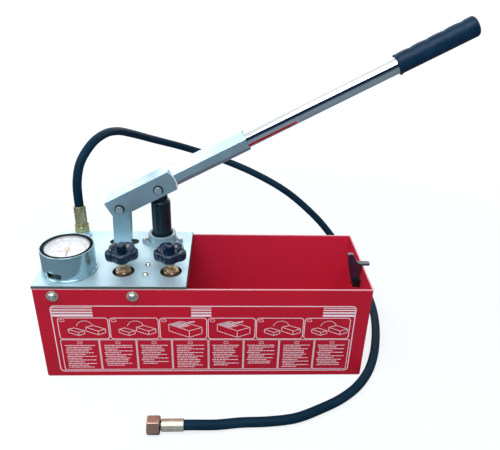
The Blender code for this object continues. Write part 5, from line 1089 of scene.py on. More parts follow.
@dataclass
class PrintedFront:
    """The white print on the tank's front: a frame, stripes, and two rows of boxes with plain bars."""

    face: float = -0.085
    lift: float = 0.00001
    ink: float = 0.00008
    frame_half: float = 0.2275
    frame_low: float = 0.0112
    frame_high: float = 0.137
    frame_corner: float = 0.006
    frame_line: float = 0.0015
    stripe_top: float = 0.1345
    stripe_low: float = 0.1178
    stripe_spans: tuple[Pair, ...] = ((-0.2265, -0.167), (-0.021, 0.009), (0.178, 0.2265))
    stripe_shares: tuple[float, ...] = (0.0, 0.07, 0.21, 0.33, 0.47, 0.64, 0.76, 1.0)
    upper: BoxRow = BoxRow(
        -0.22, (-0.1457, -0.0709, 0.002, 0.0757, 0.1495, 0.2215), low=0.0755, high=0.1152, gap=0.0022,
        corner=0.005, line=0.0011)
    lower: BoxRow = BoxRow(
        -0.2205, (-0.1633, -0.1068, -0.0526, 0.0036, 0.0581, 0.1134, 0.1687, 0.224), low=0.0145,
        high=0.0737, gap=0.0016, corner=0.0006, line=0.001)
    text_rows: int = 13
    text_top: float = 0.0634
    text_pitch: float = 0.00362
    text_height: float = 0.0013
    text_left: float = 0.005
    text_margins: float = 0.0105
    text_indent: float = 0.0014
    word_length: float = 0.0058
    word_drift: float = 0.0016
    word_gap: float = 0.0008
    word_least: float = 0.002
    oval_half: float = 0.0036
    oval_low: float = 0.0663
    oval_high: float = 0.07
    oval_corner: float = 0.0018
    oval_line: float = 0.0006
    tag_inset: float = 0.003
    tag_width: float = 0.007
    tag_height: float = 0.0038
    drawn_line: float = 0.0009
    drawn_shift: Pair = (0.003, -0.0015)
    drawn_corners: tuple[Pair, ...] = (
        (-0.026, 0.01), (-0.026, -0.003), (0.006, -0.016), (0.026, -0.008), (0.026, 0.004), (-0.006, 0.016),
        (0.006, -0.003))
    drawn_joins: tuple[tuple[int, int], ...] = (
        (0, 1), (1, 2), (2, 3), (3, 4), (4, 5), (5, 0), (0, 6), (6, 2), (6, 4))

    def build(self) -> None:
        """Makes the print as thin raised ink."""
        shapes = [self.outlines(), self.bars(self.stripes()), self.bars(self.text_bars()), self.sketches()]
        mount(reduce(Shape.__add__, shapes).build("front_print"), WHITE_INK)

    def lay(self, plane: Array) -> Array:
        """Plane points (across, up) on the tank's front."""
        return np.stack([plane[..., 0], np.full(plane.shape[:-1], self.face + self.lift), plane[..., 1]], -1)

    def bars(self, quads: Array) -> Shape:
        """Ink bars over plane quads."""
        return prisms(self.lay(np.asarray(quads)), (0.0, -self.ink, 0.0))

    def outlines(self) -> Shape:
        """Every frame as a closed line of ink."""
        outer = (-self.frame_half, self.frame_half, self.frame_low, self.frame_high, self.frame_corner,
                 self.frame_line)
        boxes = [outer, *self.upper.frames(), *self.lower.frames(), *self.ovals()]
        return reduce(Shape.__add__, [self.frame(*sizes) for sizes in boxes])

    def frame(self, *sizes: float) -> Shape:
        """One rounded frame of ink: its outline in and out by half the line's width.

        Args:
            sizes: Left, right, low, high, the corners' radius and the line's width.

        Returns:
            The frame's closed skin.
        """
        middle = fillet(box(*sizes[:4]), sizes[4], closed=True)
        inner, outer = (self.lay(offset(middle, shift)) for shift in (sizes[5] / 2, -sizes[5] / 2))
        rise = np.array((0.0, -self.ink, 0.0))
        return skin(np.stack([outer, outer + rise, inner + rise, inner], 1), along=True)

    def stripes(self) -> Array:
        """Bands of four stripes that grow thicker downwards."""
        depth = self.stripe_top - self.stripe_low
        edges = self.stripe_top - depth * np.array(self.stripe_shares).reshape(-1, 2)
        return np.array(
            [box(left, right, low, high) for left, right in self.stripe_spans for high, low in edges])

    def text_bars(self) -> Array:
        """Bars for lines of text in the lower boxes: rows whose lengths follow a sine, cut into words by
        gaps that drift from row to row."""
        quads = []
        for number, (left, right) in enumerate(self.lower.spans()):
            for row in range(self.text_rows - number % 3):
                phase = 1.7 * row + 2.3 * number
                share = 1.0 if row == 0 else 0.45 + 0.53 * abs(math.sin(phase + 0.6))
                length = (right - left - self.text_margins) * share
                start = left + self.text_left + self.text_indent * (row % 4 > 0)
                even = np.arange(0.0, length, self.word_length)
                marks = even + self.word_drift * np.sin(phase + 4.1 * even / self.word_length)
                marks = np.append(marks[marks < length - self.word_least], length)
                marks = np.clip(marks, 0.0, length) + start
                top = self.text_top - row * self.text_pitch
                quads += [box(low, high - self.word_gap, top - self.text_height, top)
                          for low, high in zip(marks[:-1], marks[1:])]
        return np.array(quads)

    def ovals(self) -> list[tuple[float, ...]]:
        """Small rounded plates: one at the top of each lower box, one at the upper left of each upper."""
        lower = [((left + right) / 2 - self.oval_half, (left + right) / 2 + self.oval_half, self.oval_low,
                  self.oval_high, self.oval_corner, self.oval_line) for left, right in self.lower.spans()]
        top = self.upper.high - self.tag_inset
        lefts = [left + self.tag_inset for left, right in self.upper.spans()]
        upper = [(left, left + self.tag_width, top - self.tag_height, top, self.oval_corner, self.oval_line)
                 for left in lefts]
        return lower + upper

    def sketches(self) -> Shape:
        """Plain line drawings: one open box in each middle frame, and two joined ones in the others."""
        corners, joins = np.array(self.drawn_corners), np.array(self.drawn_joins)
        height = (self.upper.low + self.upper.high) / 2
        segments = []
        for number, (left, right) in enumerate(self.upper.spans()):
            centre = np.array(((left + right) / 2, height)) + self.drawn_shift
            if number in (2, 3):
                segments += self.open_box(corners * 0.96 + centre, joins, centre)
            else:
                segments += self.two_boxes(corners, joins, centre)
        return self.bars(strokes(np.concatenate(segments), self.drawn_line))

    @staticmethod
    def open_box(corners: Array, joins: Array, centre: Array) -> list[Array]:
        """Segments of a large box with six ribs across its mouth, and a bar of two lines over it."""
        across = np.linspace(0.15, 0.85, 6)[:, None]
        ribs = corners[0] + (corners[5] - corners[0]) * across * 0.9
        bar = np.array([[(-0.018, 0.009), (0.014, 0.0155)], [(-0.018, 0.0075), (0.014, 0.014)]])
        return [corners[joins], np.stack([ribs, ribs + (corners[6] - corners[0]) * 0.55], 1), centre + bar]

    @staticmethod
    def two_boxes(corners: Array, joins: Array, centre: Array) -> list[Array]:
        """Segments of two small boxes side by side, and of the arc that joins them."""
        curve = arc(centre + np.array((-0.001, 0.0035)), 0.0125, 165.0, 20.0, 10)
        return [(corners * 0.46 + centre + np.array((-0.0145, -0.0045)))[joins],
                (corners * 0.56 + centre + np.array((0.0145, -0.0015)))[joins],
                np.stack([curve[:-1], curve[1:]], 1)]


@dataclass
class Deck:
    """The plated deck and its four bolts with their washers."""

    bolt_xs: Pair = (-0.221, -0.1057)
    bolt_z: float = 0.155
    half_width: float = 0.085
    edge: float = 0.0005
    washer_radius: float = 0.0087
    washer_thick: float = 0.0016
    washer_edge: float = 0.0003
    head_radius: float = 0.00675
    head_height: float = 0.0044
    head_rim: float = 0.0006
    socket_half: float = 0.0025
    socket_depth: float = 0.0026
    shank_radius: float = 0.0039
    shank_clear: float = 0.0002
    shank_proud: float = 0.001
    nut_half: float = 0.0065
    nut_top: float = 0.0794
    nut_height: float = 0.0065
    nut_chamfer: float = 0.0007

    def build(self) -> None:
        """Makes the deck and its fasteners."""
        # Below its top the deck plate is darkened as painted shade.
        refine("deck_plate", SHADED_ZINC_SHEET, edge=self.edge)
        low = self.half_width + CLEAR
        washer = revolve(ring(self.shank_radius + self.shank_clear, self.washer_radius, low,
                              low + self.washer_thick, self.washer_edge), 72)
        for side, turn in (("front", 180.0), ("back", 0.0)):
            for end, x in zip(("left", "right"), self.bolt_xs):
                name = f"deck_bolt_{side}_{end}"
                turned, at = turn_z(turn), (x, 0.0, self.bolt_z)
                bolt = along_y(self.bolt().placed(turn_z(30.0))).placed(turned, at)
                remake(name, bolt, ZINC_SCREW)
                plain = along_y(washer).placed(turned, at)
                mount(plain.build(name + "_washer"), OLIVE_ZINC)

    def bolt(self) -> Shape:
        """A button head bolt and its nut as one turned profile, its socket and nut six-sided."""
        seat = self.half_width + CLEAR + self.washer_thick
        top = seat + self.head_height
        floor = top - self.socket_depth
        socket, nut = hexagon_corner(self.socket_half), hexagon_corner(self.nut_half)
        head, shank = self.head_radius, self.shank_radius
        nut_low = self.nut_top - self.nut_height
        tip = nut_low - self.shank_proud
        profile = line([
            (0.0, floor), (socket, floor), (socket, top, 0.0003), (head * 0.62, top, 0.001),
            (head * 0.93, seat + self.head_height * 0.55, 0.0022), (head, seat + self.head_rim, 0.0002),
            (head, seat), (shank, seat), (shank, self.nut_top), (nut * 0.93, self.nut_top),
            (nut, self.nut_top - self.nut_chamfer), (nut, nut_low + self.nut_chamfer), (nut * 0.93, nut_low),
            (shank, nut_low), (shank, tip, 0.0002), (0.0, tip)], steps=3)
        inside = (profile[:, 0] < socket + TINY) & (profile[:, 1] > floor - TINY)
        on_nut = (profile[:, 1] < self.nut_top + TINY) & (profile[:, 0] > shank + TINY)
        flats = np.where(inside, self.socket_half, np.where(on_nut, self.nut_half, ROUND))
        return revolve(profile, 72, flats)


@dataclass
class Valve:
    """One needle valve with its star knob."""

    side: str
    x: float
    turn: float
    spindle_body: Body
    knob_body: Body
    y: float = -0.044
    nut_low: float = 0.1673
    nut_high: float = 0.1753
    nut_half: float = 0.011
    nut_turn: float = 17.0
    nut_chamfer: float = 0.0012
    neck_radius: float = 0.0075
    neck_step: float = 0.0004
    neck_top: float = 0.1793
    needle_low: float = 0.1445
    needle_length: float = 0.0036
    needle_tip: float = 0.001
    thread_radii: Pair = (0.0052, 0.006)
    thread_start: float = 0.0038
    thread_pitch: float = 0.00125
    thread_turns: int = 11
    stem_radius: float = 0.004
    stem_start: float = 0.0182
    stem_top: float = 0.2052
    collar_low: float = 0.1835
    collar_high: float = 0.1895
    collar_radius: float = 0.0058
    groove_depth: float = 0.0008
    knurls: int = 28
    knurl_height: float = 0.00022
    knob_low: float = 0.1898
    hub_top: float = 0.197
    hub_radius: float = 0.009
    knob_top: float = 0.211
    knob_radius: float = 0.02465
    notch: float = 0.0038
    lobes: int = 5
    rim_round: float = 0.003
    dish_radius: float = 0.0172
    dish_floor: float = 0.0102
    dish_depth: float = 0.0055
    cap_radius: float = 0.0071
    cap_sink: float = 0.0052
    cap_edge: float = 0.0012
    cap_top: float = 0.22

    def build(self) -> None:
        """Makes the nut, the spindle, the knob and its cap."""
        at = (self.x, self.y, 0.0)
        nut = self.nut().placed(turn_z(self.nut_turn), at)
        remake(self.side + "_packing_nut", nut, BROWN_BRASS)
        remake(self.side + "_spindle", self.spindle().placed(at=at), TURNED_BRASS, self.spindle_body)
        knob = self.knob().placed(turn_z(self.turn), at)
        remake(self.side + "_knob", knob, PHENOLIC, self.knob_body, smooth=50.0)
        remake(self.side + "_knob_cap", self.cap().placed(at=at), PHENOLIC, self.knob_body)

    def nut(self) -> Shape:
        """The packing nut: six-sided with a chamfered top, and a round neck."""
        half, neck = self.nut_half, self.neck_radius
        wide = half * 1.16
        profile = line([
            (0.0, self.nut_low), (wide, self.nut_low), (wide, self.nut_high - self.nut_chamfer),
            (half, self.nut_high, 0.0002), (neck + self.neck_step, self.nut_high),
            (neck, self.nut_high + self.neck_step), (neck, self.neck_top, 0.0005), (0.0, self.neck_top)])
        flats = np.where(profile[:, 0] > neck + self.neck_step + TINY, half, ROUND)
        return revolve(profile, 96, flats)

    def spindle(self) -> Shape:
        """Needle, thread, stem and collar: the thread is teeth in the profile, the knurl is a ripple."""
        base, root = self.needle_low, self.thread_radii[0]
        turns = np.arange(self.thread_turns)[:, None]
        heights = base + self.thread_start + self.thread_pitch * (turns + np.array([[0.0, 0.5]]))
        teeth = np.stack([np.broadcast_to(self.thread_radii, heights.shape), heights], -1).reshape(-1, 2)
        low, high, stem, wide = self.collar_low, self.collar_high, self.stem_radius, self.collar_radius
        groove, deep = (low + high) / 2, wide - self.groove_depth
        upper = line([
            (stem, base + self.stem_start), (stem, low), (wide, low, 0.0003),
            (wide, groove - 0.0004, 0.0001), (deep, groove - 0.0002), (deep, groove + 0.0002),
            (wide, groove + 0.0004, 0.0001), (wide, high, 0.0003), (stem, high), (stem, self.stem_top),
            (0.0, self.stem_top)], steps=2)
        needle = [(0.0, base), (self.needle_tip, base), (root, base + self.needle_length)]
        profile = np.vstack([needle, teeth, upper])
        on_collar = (profile[:, 0] > wide - self.groove_depth) & (profile[:, 1] > low - TINY)
        return revolve(profile, 168, ripple=(self.knurls, np.where(on_collar, self.knurl_height, 0.0)))

    def knob(self) -> Shape:
        """A star over a short hub. Each ring mixes a circle with the star, whose radius falls by the notch
        times the 1.5th power of a raised cosine between lobes. The dish is a smooth bowl.

        A row of the profile is a share of the star, an inset from it or else a radius, and a height.
        """
        angle = np.linspace(0.0, math.tau, 240, endpoint=False)[:, None]
        valley = ((1.0 - np.cos(self.lobes * (angle + math.pi / 2))) / 2) ** 1.5
        star = self.knob_radius - self.notch * valley
        top, hub, radius, bend = self.knob_top, self.hub_top, self.hub_radius, self.rim_round
        edge = np.radians(np.linspace(-90.0, 90.0, 9))
        rows = [(0.0, 0.0, self.knob_low), (0.0, radius - 0.0004, self.knob_low),
                (0.0, radius, self.knob_low + 0.0004), (0.0, radius, hub - 0.0016),
                (0.0, radius + 0.0004, hub - 0.0005), (0.0, radius + 0.0014, hub)]
        rows += [(1.0, 0.0026 * (1 - math.cos(a)), hub + bend * (1 + math.sin(a))) for a in edge[:5]]
        rows += [(1.0, -0.0002 * math.sin(math.pi * share), hub + bend + (top - hub - 2 * bend) * share)
                 for share in np.linspace(0.0, 1.0, 7)[1:-1]]
        rows += [(1.0, 0.0034 * (1 - math.cos(a)), top - bend * (1 - math.sin(a))) for a in edge[4:]]
        rows += [(0.35, 0.0009, top - 0.0001)]
        rows += [(0.0, self.dish_radius - (self.dish_radius - self.dish_floor) * share,
                  top - 0.0003 - (self.dish_depth - 0.0003) * math.sin(math.pi / 2 * share) ** 1.2)
                 for share in np.linspace(0.0, 1.0, 14)]
        rows += [(0.0, 0.0, top - self.dish_depth)]
        share, reach, height = (np.array(column)[None] for column in zip(*rows))
        circle = np.where(share > 0.0, self.dish_radius + 0.0009, reach)
        radius = share * (star - reach) + (1.0 - share) * circle
        return skin(np.stack(
            [radius * np.cos(angle), radius * np.sin(angle), np.broadcast_to(height, radius.shape)], -1))

    def cap(self) -> Shape:
        """The round cap that stands in the knob's dish."""
        radius = self.cap_radius
        low = self.knob_top - self.cap_sink
        return revolve(line([(0.0, low), (radius, low), (radius, self.cap_top - self.cap_edge, 0.0022),
                             (radius * 0.5, self.cap_top, 0.004), (0.0, self.cap_top)], steps=8))


@dataclass
class BodyScrews:
    """Two socket screws in the deck between the valves."""

    x: float = -0.09025
    ys: Pair = (-0.0245, -0.0528)
    head: float = 0.00475
    height: float = 0.0032
    rim: float = 0.0008
    socket_half: float = 0.0015
    socket_depth: float = 0.0018
    shank_radius: float = 0.0025
    shank_low: float = 0.1542
    turn: float = 10.0

    def build(self) -> None:
        """Makes the two screws: a domed head with a six-sided socket."""
        socket, shank = hexagon_corner(self.socket_half), self.shank_radius
        top = DECK_TOP + self.height
        floor = top - self.socket_depth
        profile = line([(0.0, floor), (socket, floor), (socket, top, 0.0002), (self.head * 0.6, top, 0.0012),
                        (self.head, DECK_TOP + self.rim, 0.0006), (self.head, DECK_TOP),
                        (shank, DECK_TOP), (shank, self.shank_low), (0.0, self.shank_low)])
        inside = (profile[:, 0] < socket + TINY) & (profile[:, 1] > floor - TINY)
        screw = revolve(profile, 72, np.where(inside, self.socket_half, ROUND)).placed(turn_z(self.turn))
        for name, y in zip(("body_screw_back", "body_screw_front"), self.ys):
            remake(name, screw.placed(at=(self.x, y, 0.0)), ZINC_SCREW)


@dataclass
class Gauge:
    """The pressure gauge in its cup."""

    at: Point = (-0.206, -0.037, 0.0)
    bore: float = 0.0063
    cup_radius: float = 0.0393
    cup_wall: float = 0.0015
    cup_floor: float = 0.1748
    cup_top: float = 0.212
    foot_radius: float = 0.0413
    foot_height: float = 0.002
    slot_azimuth: float = -109.0
    slot_width: float = 0.0235
    slot_low: float = 0.1765
    slot_high: float = 0.1855
    slot_corner: float = 0.003
    slot_reach: Pair = (0.03, 0.045)
    case_radius: float = 0.0343
    case_inner: float = 0.0331
    case_step: float = 0.0009
    case_low: float = 0.1751
    case_floor: float = 0.002
    case_top: float = 0.211
    seal_low: float = 0.203
    seal_top: float = 0.2117
    seal_inner: float = 0.0332
    seal_lip: float = 0.0005
    glass_low: float = 0.2083
    glass_top: float = 0.2103
    dial_low: float = 0.2015
    dial_top: float = 0.2023
    dial_radius: float = 0.0319
    dial_bore: float = 0.0011
    ink_sink: float = 0.00002
    tick_end: float = 0.0292
    tick_long: float = 0.0046
    tick_short: float = 0.0024
    tick_thin: float = 0.00032
    tick_bold: float = 0.0007
    scale_line: Pair = (0.0291, 0.0295)
    numeral_size: float = 0.0062
    numeral_reach: float = 0.0205
    limit_radii: Pair = (0.0262, 0.0272)
    limit_sweep: float = 36.0
    needle_azimuth: float = -84.0
    needle_length: float = 0.0262
    needle_tail: float = 0.0085
    needle_half: float = 0.0011
    hub_radius: float = 0.004
    hub_height: float = 0.0053
    arbor_radius: float = 0.0008
    arbor_length: float = 0.006
    sweep: float = 270.0
    numbers: int = 6
    ticks_each: int = 5

    def build(self) -> None:
        """Makes the cup, the case with its seal, the dial, the pointer and the glass."""
        mount(self.cup(), CUP_ENAMEL, "gauge_cup")
        # The case is dark as painted shade behind the cup's slot.
        self.turned("gauge_case", self.case(), SHADED_CASE_STEEL)
        self.turned("gauge_seal", self.seal(), SEAL_RUBBER)
        lining = ring(self.dial_radius - 0.0002, self.dial_radius + 0.0002, self.dial_top + CLEAR,
                      self.glass_low - 0.0005, 0.0001)
        mount(revolve(lining, 144).placed(at=self.at).build("gauge_lining"), BRIGHT_LINING)
        dial = ring(self.dial_bore, self.dial_radius, self.dial_low, self.dial_top, 0.0002)
        self.turned("gauge_dial", dial, DIAL_ENAMEL)
        mount(self.marks().placed(at=self.at).build("dial_marks"), DIAL_BLACK)
        mount(self.limit_mark().placed(at=self.at).build("dial_limit_mark"), DIAL_RED)
        edge = self.case_inner - CLEAR
        glass = line([(0.0, self.glass_low), (edge, self.glass_low, 0.0003), (edge, self.glass_top, 0.0003),
                      (0.0, self.glass_top)])
        self.turned("gauge_glass", glass, GAUGE_GLASS)
        self.pointer()
        refine("gauge_stem", TURNED_BRASS)
        refine("gauge_nut", TURNED_BRASS)
        refine("bourdon_tube", COPPER_TUBE, edge=0.0, smooth=50.0)

    def turned(self, node: str, profile: Array, finish: Finish) -> None:
        """A turned piece of the gauge in its CAD node's place."""
        remake(node, revolve(profile, 144).placed(at=self.at), finish)

    def cup(self) -> Piece:
        """The cup: a turned wall on a wider foot, with a rounded slot cut through its side."""
        inner, foot_top = self.cup_radius - self.cup_wall, DECK_TOP + self.foot_height
        profile = line([
            (self.cup_radius, foot_top, 0.0008), (self.cup_radius, self.cup_top, 0.0006),
            (inner, self.cup_top, 0.0006), (inner, self.cup_floor, 0.001), (self.bore, self.cup_floor),
            (self.bore, DECK_TOP), (self.foot_radius, DECK_TOP, 0.0005),
            (self.foot_radius, foot_top, 0.0007)], closed=True)
        cup = revolve(profile, 160).placed(at=self.at).build("gauge_cup_dressed")
        half = self.slot_width / 2
        opening = fillet(box(-half, half, self.slot_low, self.slot_high), self.slot_corner, closed=True)
        window = slab(opening, *self.slot_reach, 0.0001)
        cut_out(cup, along_x(window).placed(turn_z(self.slot_azimuth), self.at).build("slot_cutter"))
        tidy(cup.data, 32.0)
        return flatten(cup)

    def case(self) -> Array:
        """The case's profile: a wall that is thicker below the glass, and a floor with a bore."""
        step, under_glass = self.case_inner - self.case_step, self.glass_low - CLEAR
        floor = self.case_low + self.case_floor
        return fillet([(self.case_radius, self.case_low), (self.case_radius, self.case_top),
                       (self.case_inner, self.case_top), (self.case_inner, under_glass), (step, under_glass),
                       (step, floor), (self.bore, floor), (self.bore, self.case_low)], 0.0003, closed=True)

    def seal(self) -> Array:
        """The seal's profile: it fills the gap between case and cup, and a thin lip covers the case."""
        inner, outer = self.case_radius + CLEAR, self.cup_radius - self.cup_wall - CLEAR
        under_lip = self.seal_top - self.seal_lip
        return line([(inner, self.seal_low, 0.0003), (outer, self.seal_low, 0.0003),
                     (outer, self.seal_top, 0.0005), (self.seal_inner, self.seal_top, 0.0002),
                     (self.seal_inner, under_lip, 0.0001), (inner, under_lip)], closed=True)

    def marks(self) -> Shape:
        """A ring of ticks clockwise from the rest point, long at each number, and the numbers."""
        count = self.numbers * self.ticks_each
        step = np.arange(count + 1)
        angle = np.radians(self.needle_azimuth - self.sweep * step / count)
        way = np.stack([np.cos(angle), np.sin(angle)], -1)
        length = np.where(step % self.ticks_each == 0, self.tick_long, self.tick_short)[:, None]
        ticks = np.stack([way * (self.tick_end - length), way * self.tick_end], 1)
        bold = strokes(ticks[::self.ticks_each], self.tick_bold)
        flat = np.concatenate([strokes(ticks, self.tick_thin), bold])
        low = self.dial_top - self.ink_sink
        shape = revolve(ring(*self.scale_line, low, low + 0.00008, 0.00001), 144)
        shape = shape + prisms(self.raised(flat, low), (0.0, 0.0, 0.00008))
        for number in range(self.numbers + 1):
            turn = math.radians(self.needle_azimuth - self.sweep * number / self.numbers)
            shape = shape + self.numeral(str(number * 10), turn)
        return shape

    @staticmethod
    def raised(flat: Array, height: float) -> Array:
        """Plane points with a height added."""
        return np.concatenate([flat, np.full((*flat.shape[:2], 1), height)], -1)

    def numeral(self, text: str, angle: float) -> Shape:
        """A raised numeral whose foot points to the dial's upright, centred on its place.

        Args:
            text: The number.
            angle: Its direction from the dial's middle, in radians.

        Returns:
            The numeral about the dial's middle.
        """
        curve = bpy.data.curves.new("numeral", "FONT")
        curve.body = text
        curve.size = self.numeral_size
        curve.extrude = 2 * self.ink_sink
        curve.align_x = "CENTER"
        curve.align_y = "CENTER"
        holder = show("numeral", curve)
        mesh = bpy.data.meshes.new_from_object(holder.evaluated_get(bpy.context.evaluated_depsgraph_get()))
        points = np.zeros(len(mesh.vertices) * 3)
        mesh.vertices.foreach_get("co", points)
        faces = [list(polygon.vertices) for polygon in mesh.polygons]
        bpy.data.objects.remove(holder)
        bpy.data.meshes.remove(mesh)
        upright_azimuth = self.needle_azimuth - self.sweep / 2 - 90.0
        place = (self.numeral_reach * math.cos(angle), self.numeral_reach * math.sin(angle),
                 self.dial_top + self.ink_sink)
        return Shape(points.reshape(-1, 3), faces).placed(turn_z(upright_azimuth), place)

    def limit_mark(self) -> Shape:
        """A short red bar near the middle and a red arc at the scale's end."""
        start = self.needle_azimuth - self.sweep
        inner, outer = (
            arc((0.0, 0.0), radius, start, start + self.limit_sweep, 24) for radius in self.limit_radii)
        band = np.stack([outer[:-1], inner[:-1], inner[1:], outer[1:]], 1)
        bar = strokes(np.array([[(-0.0135, -0.0012), (-0.0072, -0.0006)]]), 0.0024)
        return prisms(self.raised(np.concatenate([band, bar]), self.dial_top - 0.00001), (0.0, 0.0, 0.00009))

    def pointer(self) -> None:
        """A tapered needle with a tail, and its domed brass hub on the arbor."""
        low = self.dial_top + CLEAR
        turn = turn_z(self.needle_azimuth)
        half, tail = self.needle_half, -self.needle_tail
        outline = np.array([(self.needle_length, 0.0), (0.008, 0.001), (0.0, half), (tail, half),
                            (tail, -half), (0.0, -half), (0.008, -0.001)])
        needle = slab(outline, low + 0.0004, low + 0.0012, 0.0001, steps=1)
        needle = needle.placed(turn, self.at).build("gauge_needle")
        mount(needle, BLACK_OXIDE, "gauge_pointer", body=Body.POINTER)
        foot, top = low - self.arbor_length, low + self.hub_height
        profile = line([
            (0.0, foot), (self.arbor_radius, foot), (self.arbor_radius, low), (self.hub_radius, low, 0.0002),
            (self.hub_radius, top - 0.0008, 0.0006), (self.hub_radius - 0.0008, top, 0.0004), (0.0, top)])
        hub = revolve(profile, 64).placed(turn, self.at)
        mount(hub.build("needle_hub"), BRIGHT_BRASS, body=Body.POINTER)


@dataclass
class PistonLine:
    """The piston with its guide on the deck and its cylinder below."""

    at: Point = (-0.0755, 0.047, 0.0)
    pin_z: float = 0.2745
    radius: float = 0.0155
    length: float = 0.1745
    neck: float = 0.0115
    neck_length: float = 0.0225
    tail_radius: float = 0.006
    tail_length: float = 0.0155
    bore: float = 0.0173
    collar_radius: float = 0.0225
    collar_top: float = 0.1903
    collar_foot: float = 0.0015
    wiper_radii: Pair = (0.0158, 0.017)
    wiper_span: Pair = (0.1766, 0.1915)
    flange_radius: float = 0.024
    flange_top: float = 0.177
    flange_edge: float = 0.0008
    ear_radius: float = 0.005
    ear_reach: float = 0.0285
    screw_head: float = 0.0036
    screw_height: float = 0.0028
    screw_shank: float = 0.0024
    screw_low: float = 0.16
    socket_radius: float = 0.0014
    socket_half: float = 0.00122
    socket_depth: float = 0.0012

    def build(self) -> None:
        """Makes the piston, its guide and the pieces under the deck."""
        remake("piston", self.piston(), BLACK_OXIDE, Body.PISTON)
        # The collar's darker grey is painted shade.
        remake("guide_collar", self.collar(), SHADED_GREY_CASTING)
        remake("wiper_ring", self.wiper(), SEAL_RUBBER)
        for name, side in (("left", -1.0), ("right", 1.0)):
            screw = self.screw().placed(at=(self.at[0] + side * self.ear_reach, self.at[1], 0.0))
            remake("guide_screw_" + name, screw, ZINC_SCREW)
        refine("cylinder", GREY_ENAMEL, edge=0.0006)
        refine("foot_valve", TURNED_BRASS)
        refine("strainer", SHADED_ZINC_SHEET)
        refine("inlet_ball", PLAIN_STEEL, Body.BALL, edge=0.0, smooth=80.0)
        refine("piston_seal", SEAL_RUBBER, Body.PISTON)
        refine("seal_retainer", TURNED_BRASS, Body.PISTON)

    def collar(self) -> Shape:
        """The guide: a turned collar with a wider foot, on a flange with two ears."""
        foot = self.collar_radius + self.collar_foot
        profile = line([
            (self.bore, DECK_TOP), (self.bore, self.collar_top, 0.0005),
            (self.collar_radius, self.collar_top, 0.0012), (self.collar_radius, self.flange_top, 0.0014),
            (foot, self.flange_top), (foot, DECK_TOP)], closed=True)
        flange = slab(self.eared(), DECK_TOP, self.flange_top, self.flange_edge)
        return revolve(profile, 120).placed(at=self.at) + flange

    def eared(self) -> Array:
        """The two-eared flange: a large round and two small ones joined by their common tangents."""
        lean = math.degrees(math.acos((self.flange_radius - self.ear_radius) / self.ear_reach))
        middle = np.array(self.at[:2])
        right, left = middle + (self.ear_reach, 0.0), middle - (self.ear_reach, 0.0)
        return np.vstack([
            arc(right, self.ear_radius, -lean, lean, 16),
            arc(middle, self.flange_radius, lean, 180.0 - lean, 24),
            arc(left, self.ear_radius, 180.0 - lean, 180.0 + lean, 16),
            arc(middle, self.flange_radius, 180.0 + lean, 360.0 - lean, 24)])

    def wiper(self) -> Shape:
        """The wiper ring in the collar's bore, with a small bead on top."""
        (inner, outer), (low, top) = self.wiper_radii, self.wiper_span
        corners = [(inner, low), (outer, low), (outer, top - 0.0007), (outer + 0.0008, top - 0.0004),
                   (outer + 0.0004, top), (inner, top - 0.0003)]
        return revolve(fillet(corners, 0.0002, closed=True), 120).placed(at=self.at)

    def piston(self) -> Shape:
        """The ground rod with its narrower domed neck, its tail and a boss for the pin."""
        top, neck, wide = self.pin_z, self.neck, self.radius
        bend = np.radians(np.linspace(90.0, 0.0, 10))
        crown = np.stack([neck * np.cos(bend), top + neck * np.sin(bend)], -1)
        crown[0, 0] = 0.0
        shoulder, low = top - self.neck_length, top - self.length
        foot = low - self.tail_length
        rod = line([(neck, shoulder + 0.0005), (neck, shoulder), (wide - 0.0008, shoulder - 0.0027, 0.0008),
                    (wide, shoulder - 0.0039, 0.0008), (wide, low, 0.0006), (self.tail_radius, low),
                    (self.tail_radius, foot, 0.0004), (0.0, foot)])
        bore, radius, half = PIN_BOSS
        boss = fillet(box(bore, radius, -half, half), 0.0005, closed=True)
        upper = along_y(revolve(boss, 72)).placed(at=(*self.at[:2], top))
        return revolve(np.vstack([crown, rod]), 96).placed(at=self.at) + upper

    def screw(self) -> Shape:
        """A small socket screw in an ear of the flange."""
        seat = self.flange_top + CLEAR
        top = seat + self.screw_height
        floor = top - self.socket_depth
        socket, head, shank = self.socket_radius, self.screw_head, self.screw_shank
        profile = line([(0.0, floor), (socket, floor), (socket, top, 0.0001), (head, top, 0.0007),
                        (head, seat, 0.0001), (shank, seat), (shank, self.screw_low), (0.0, self.screw_low)])
        inside = (profile[:, 0] < socket + 0.00001) & (profile[:, 1] > floor - 0.0001)
        return revolve(profile, 72, np.where(inside, self.socket_half, ROUND))


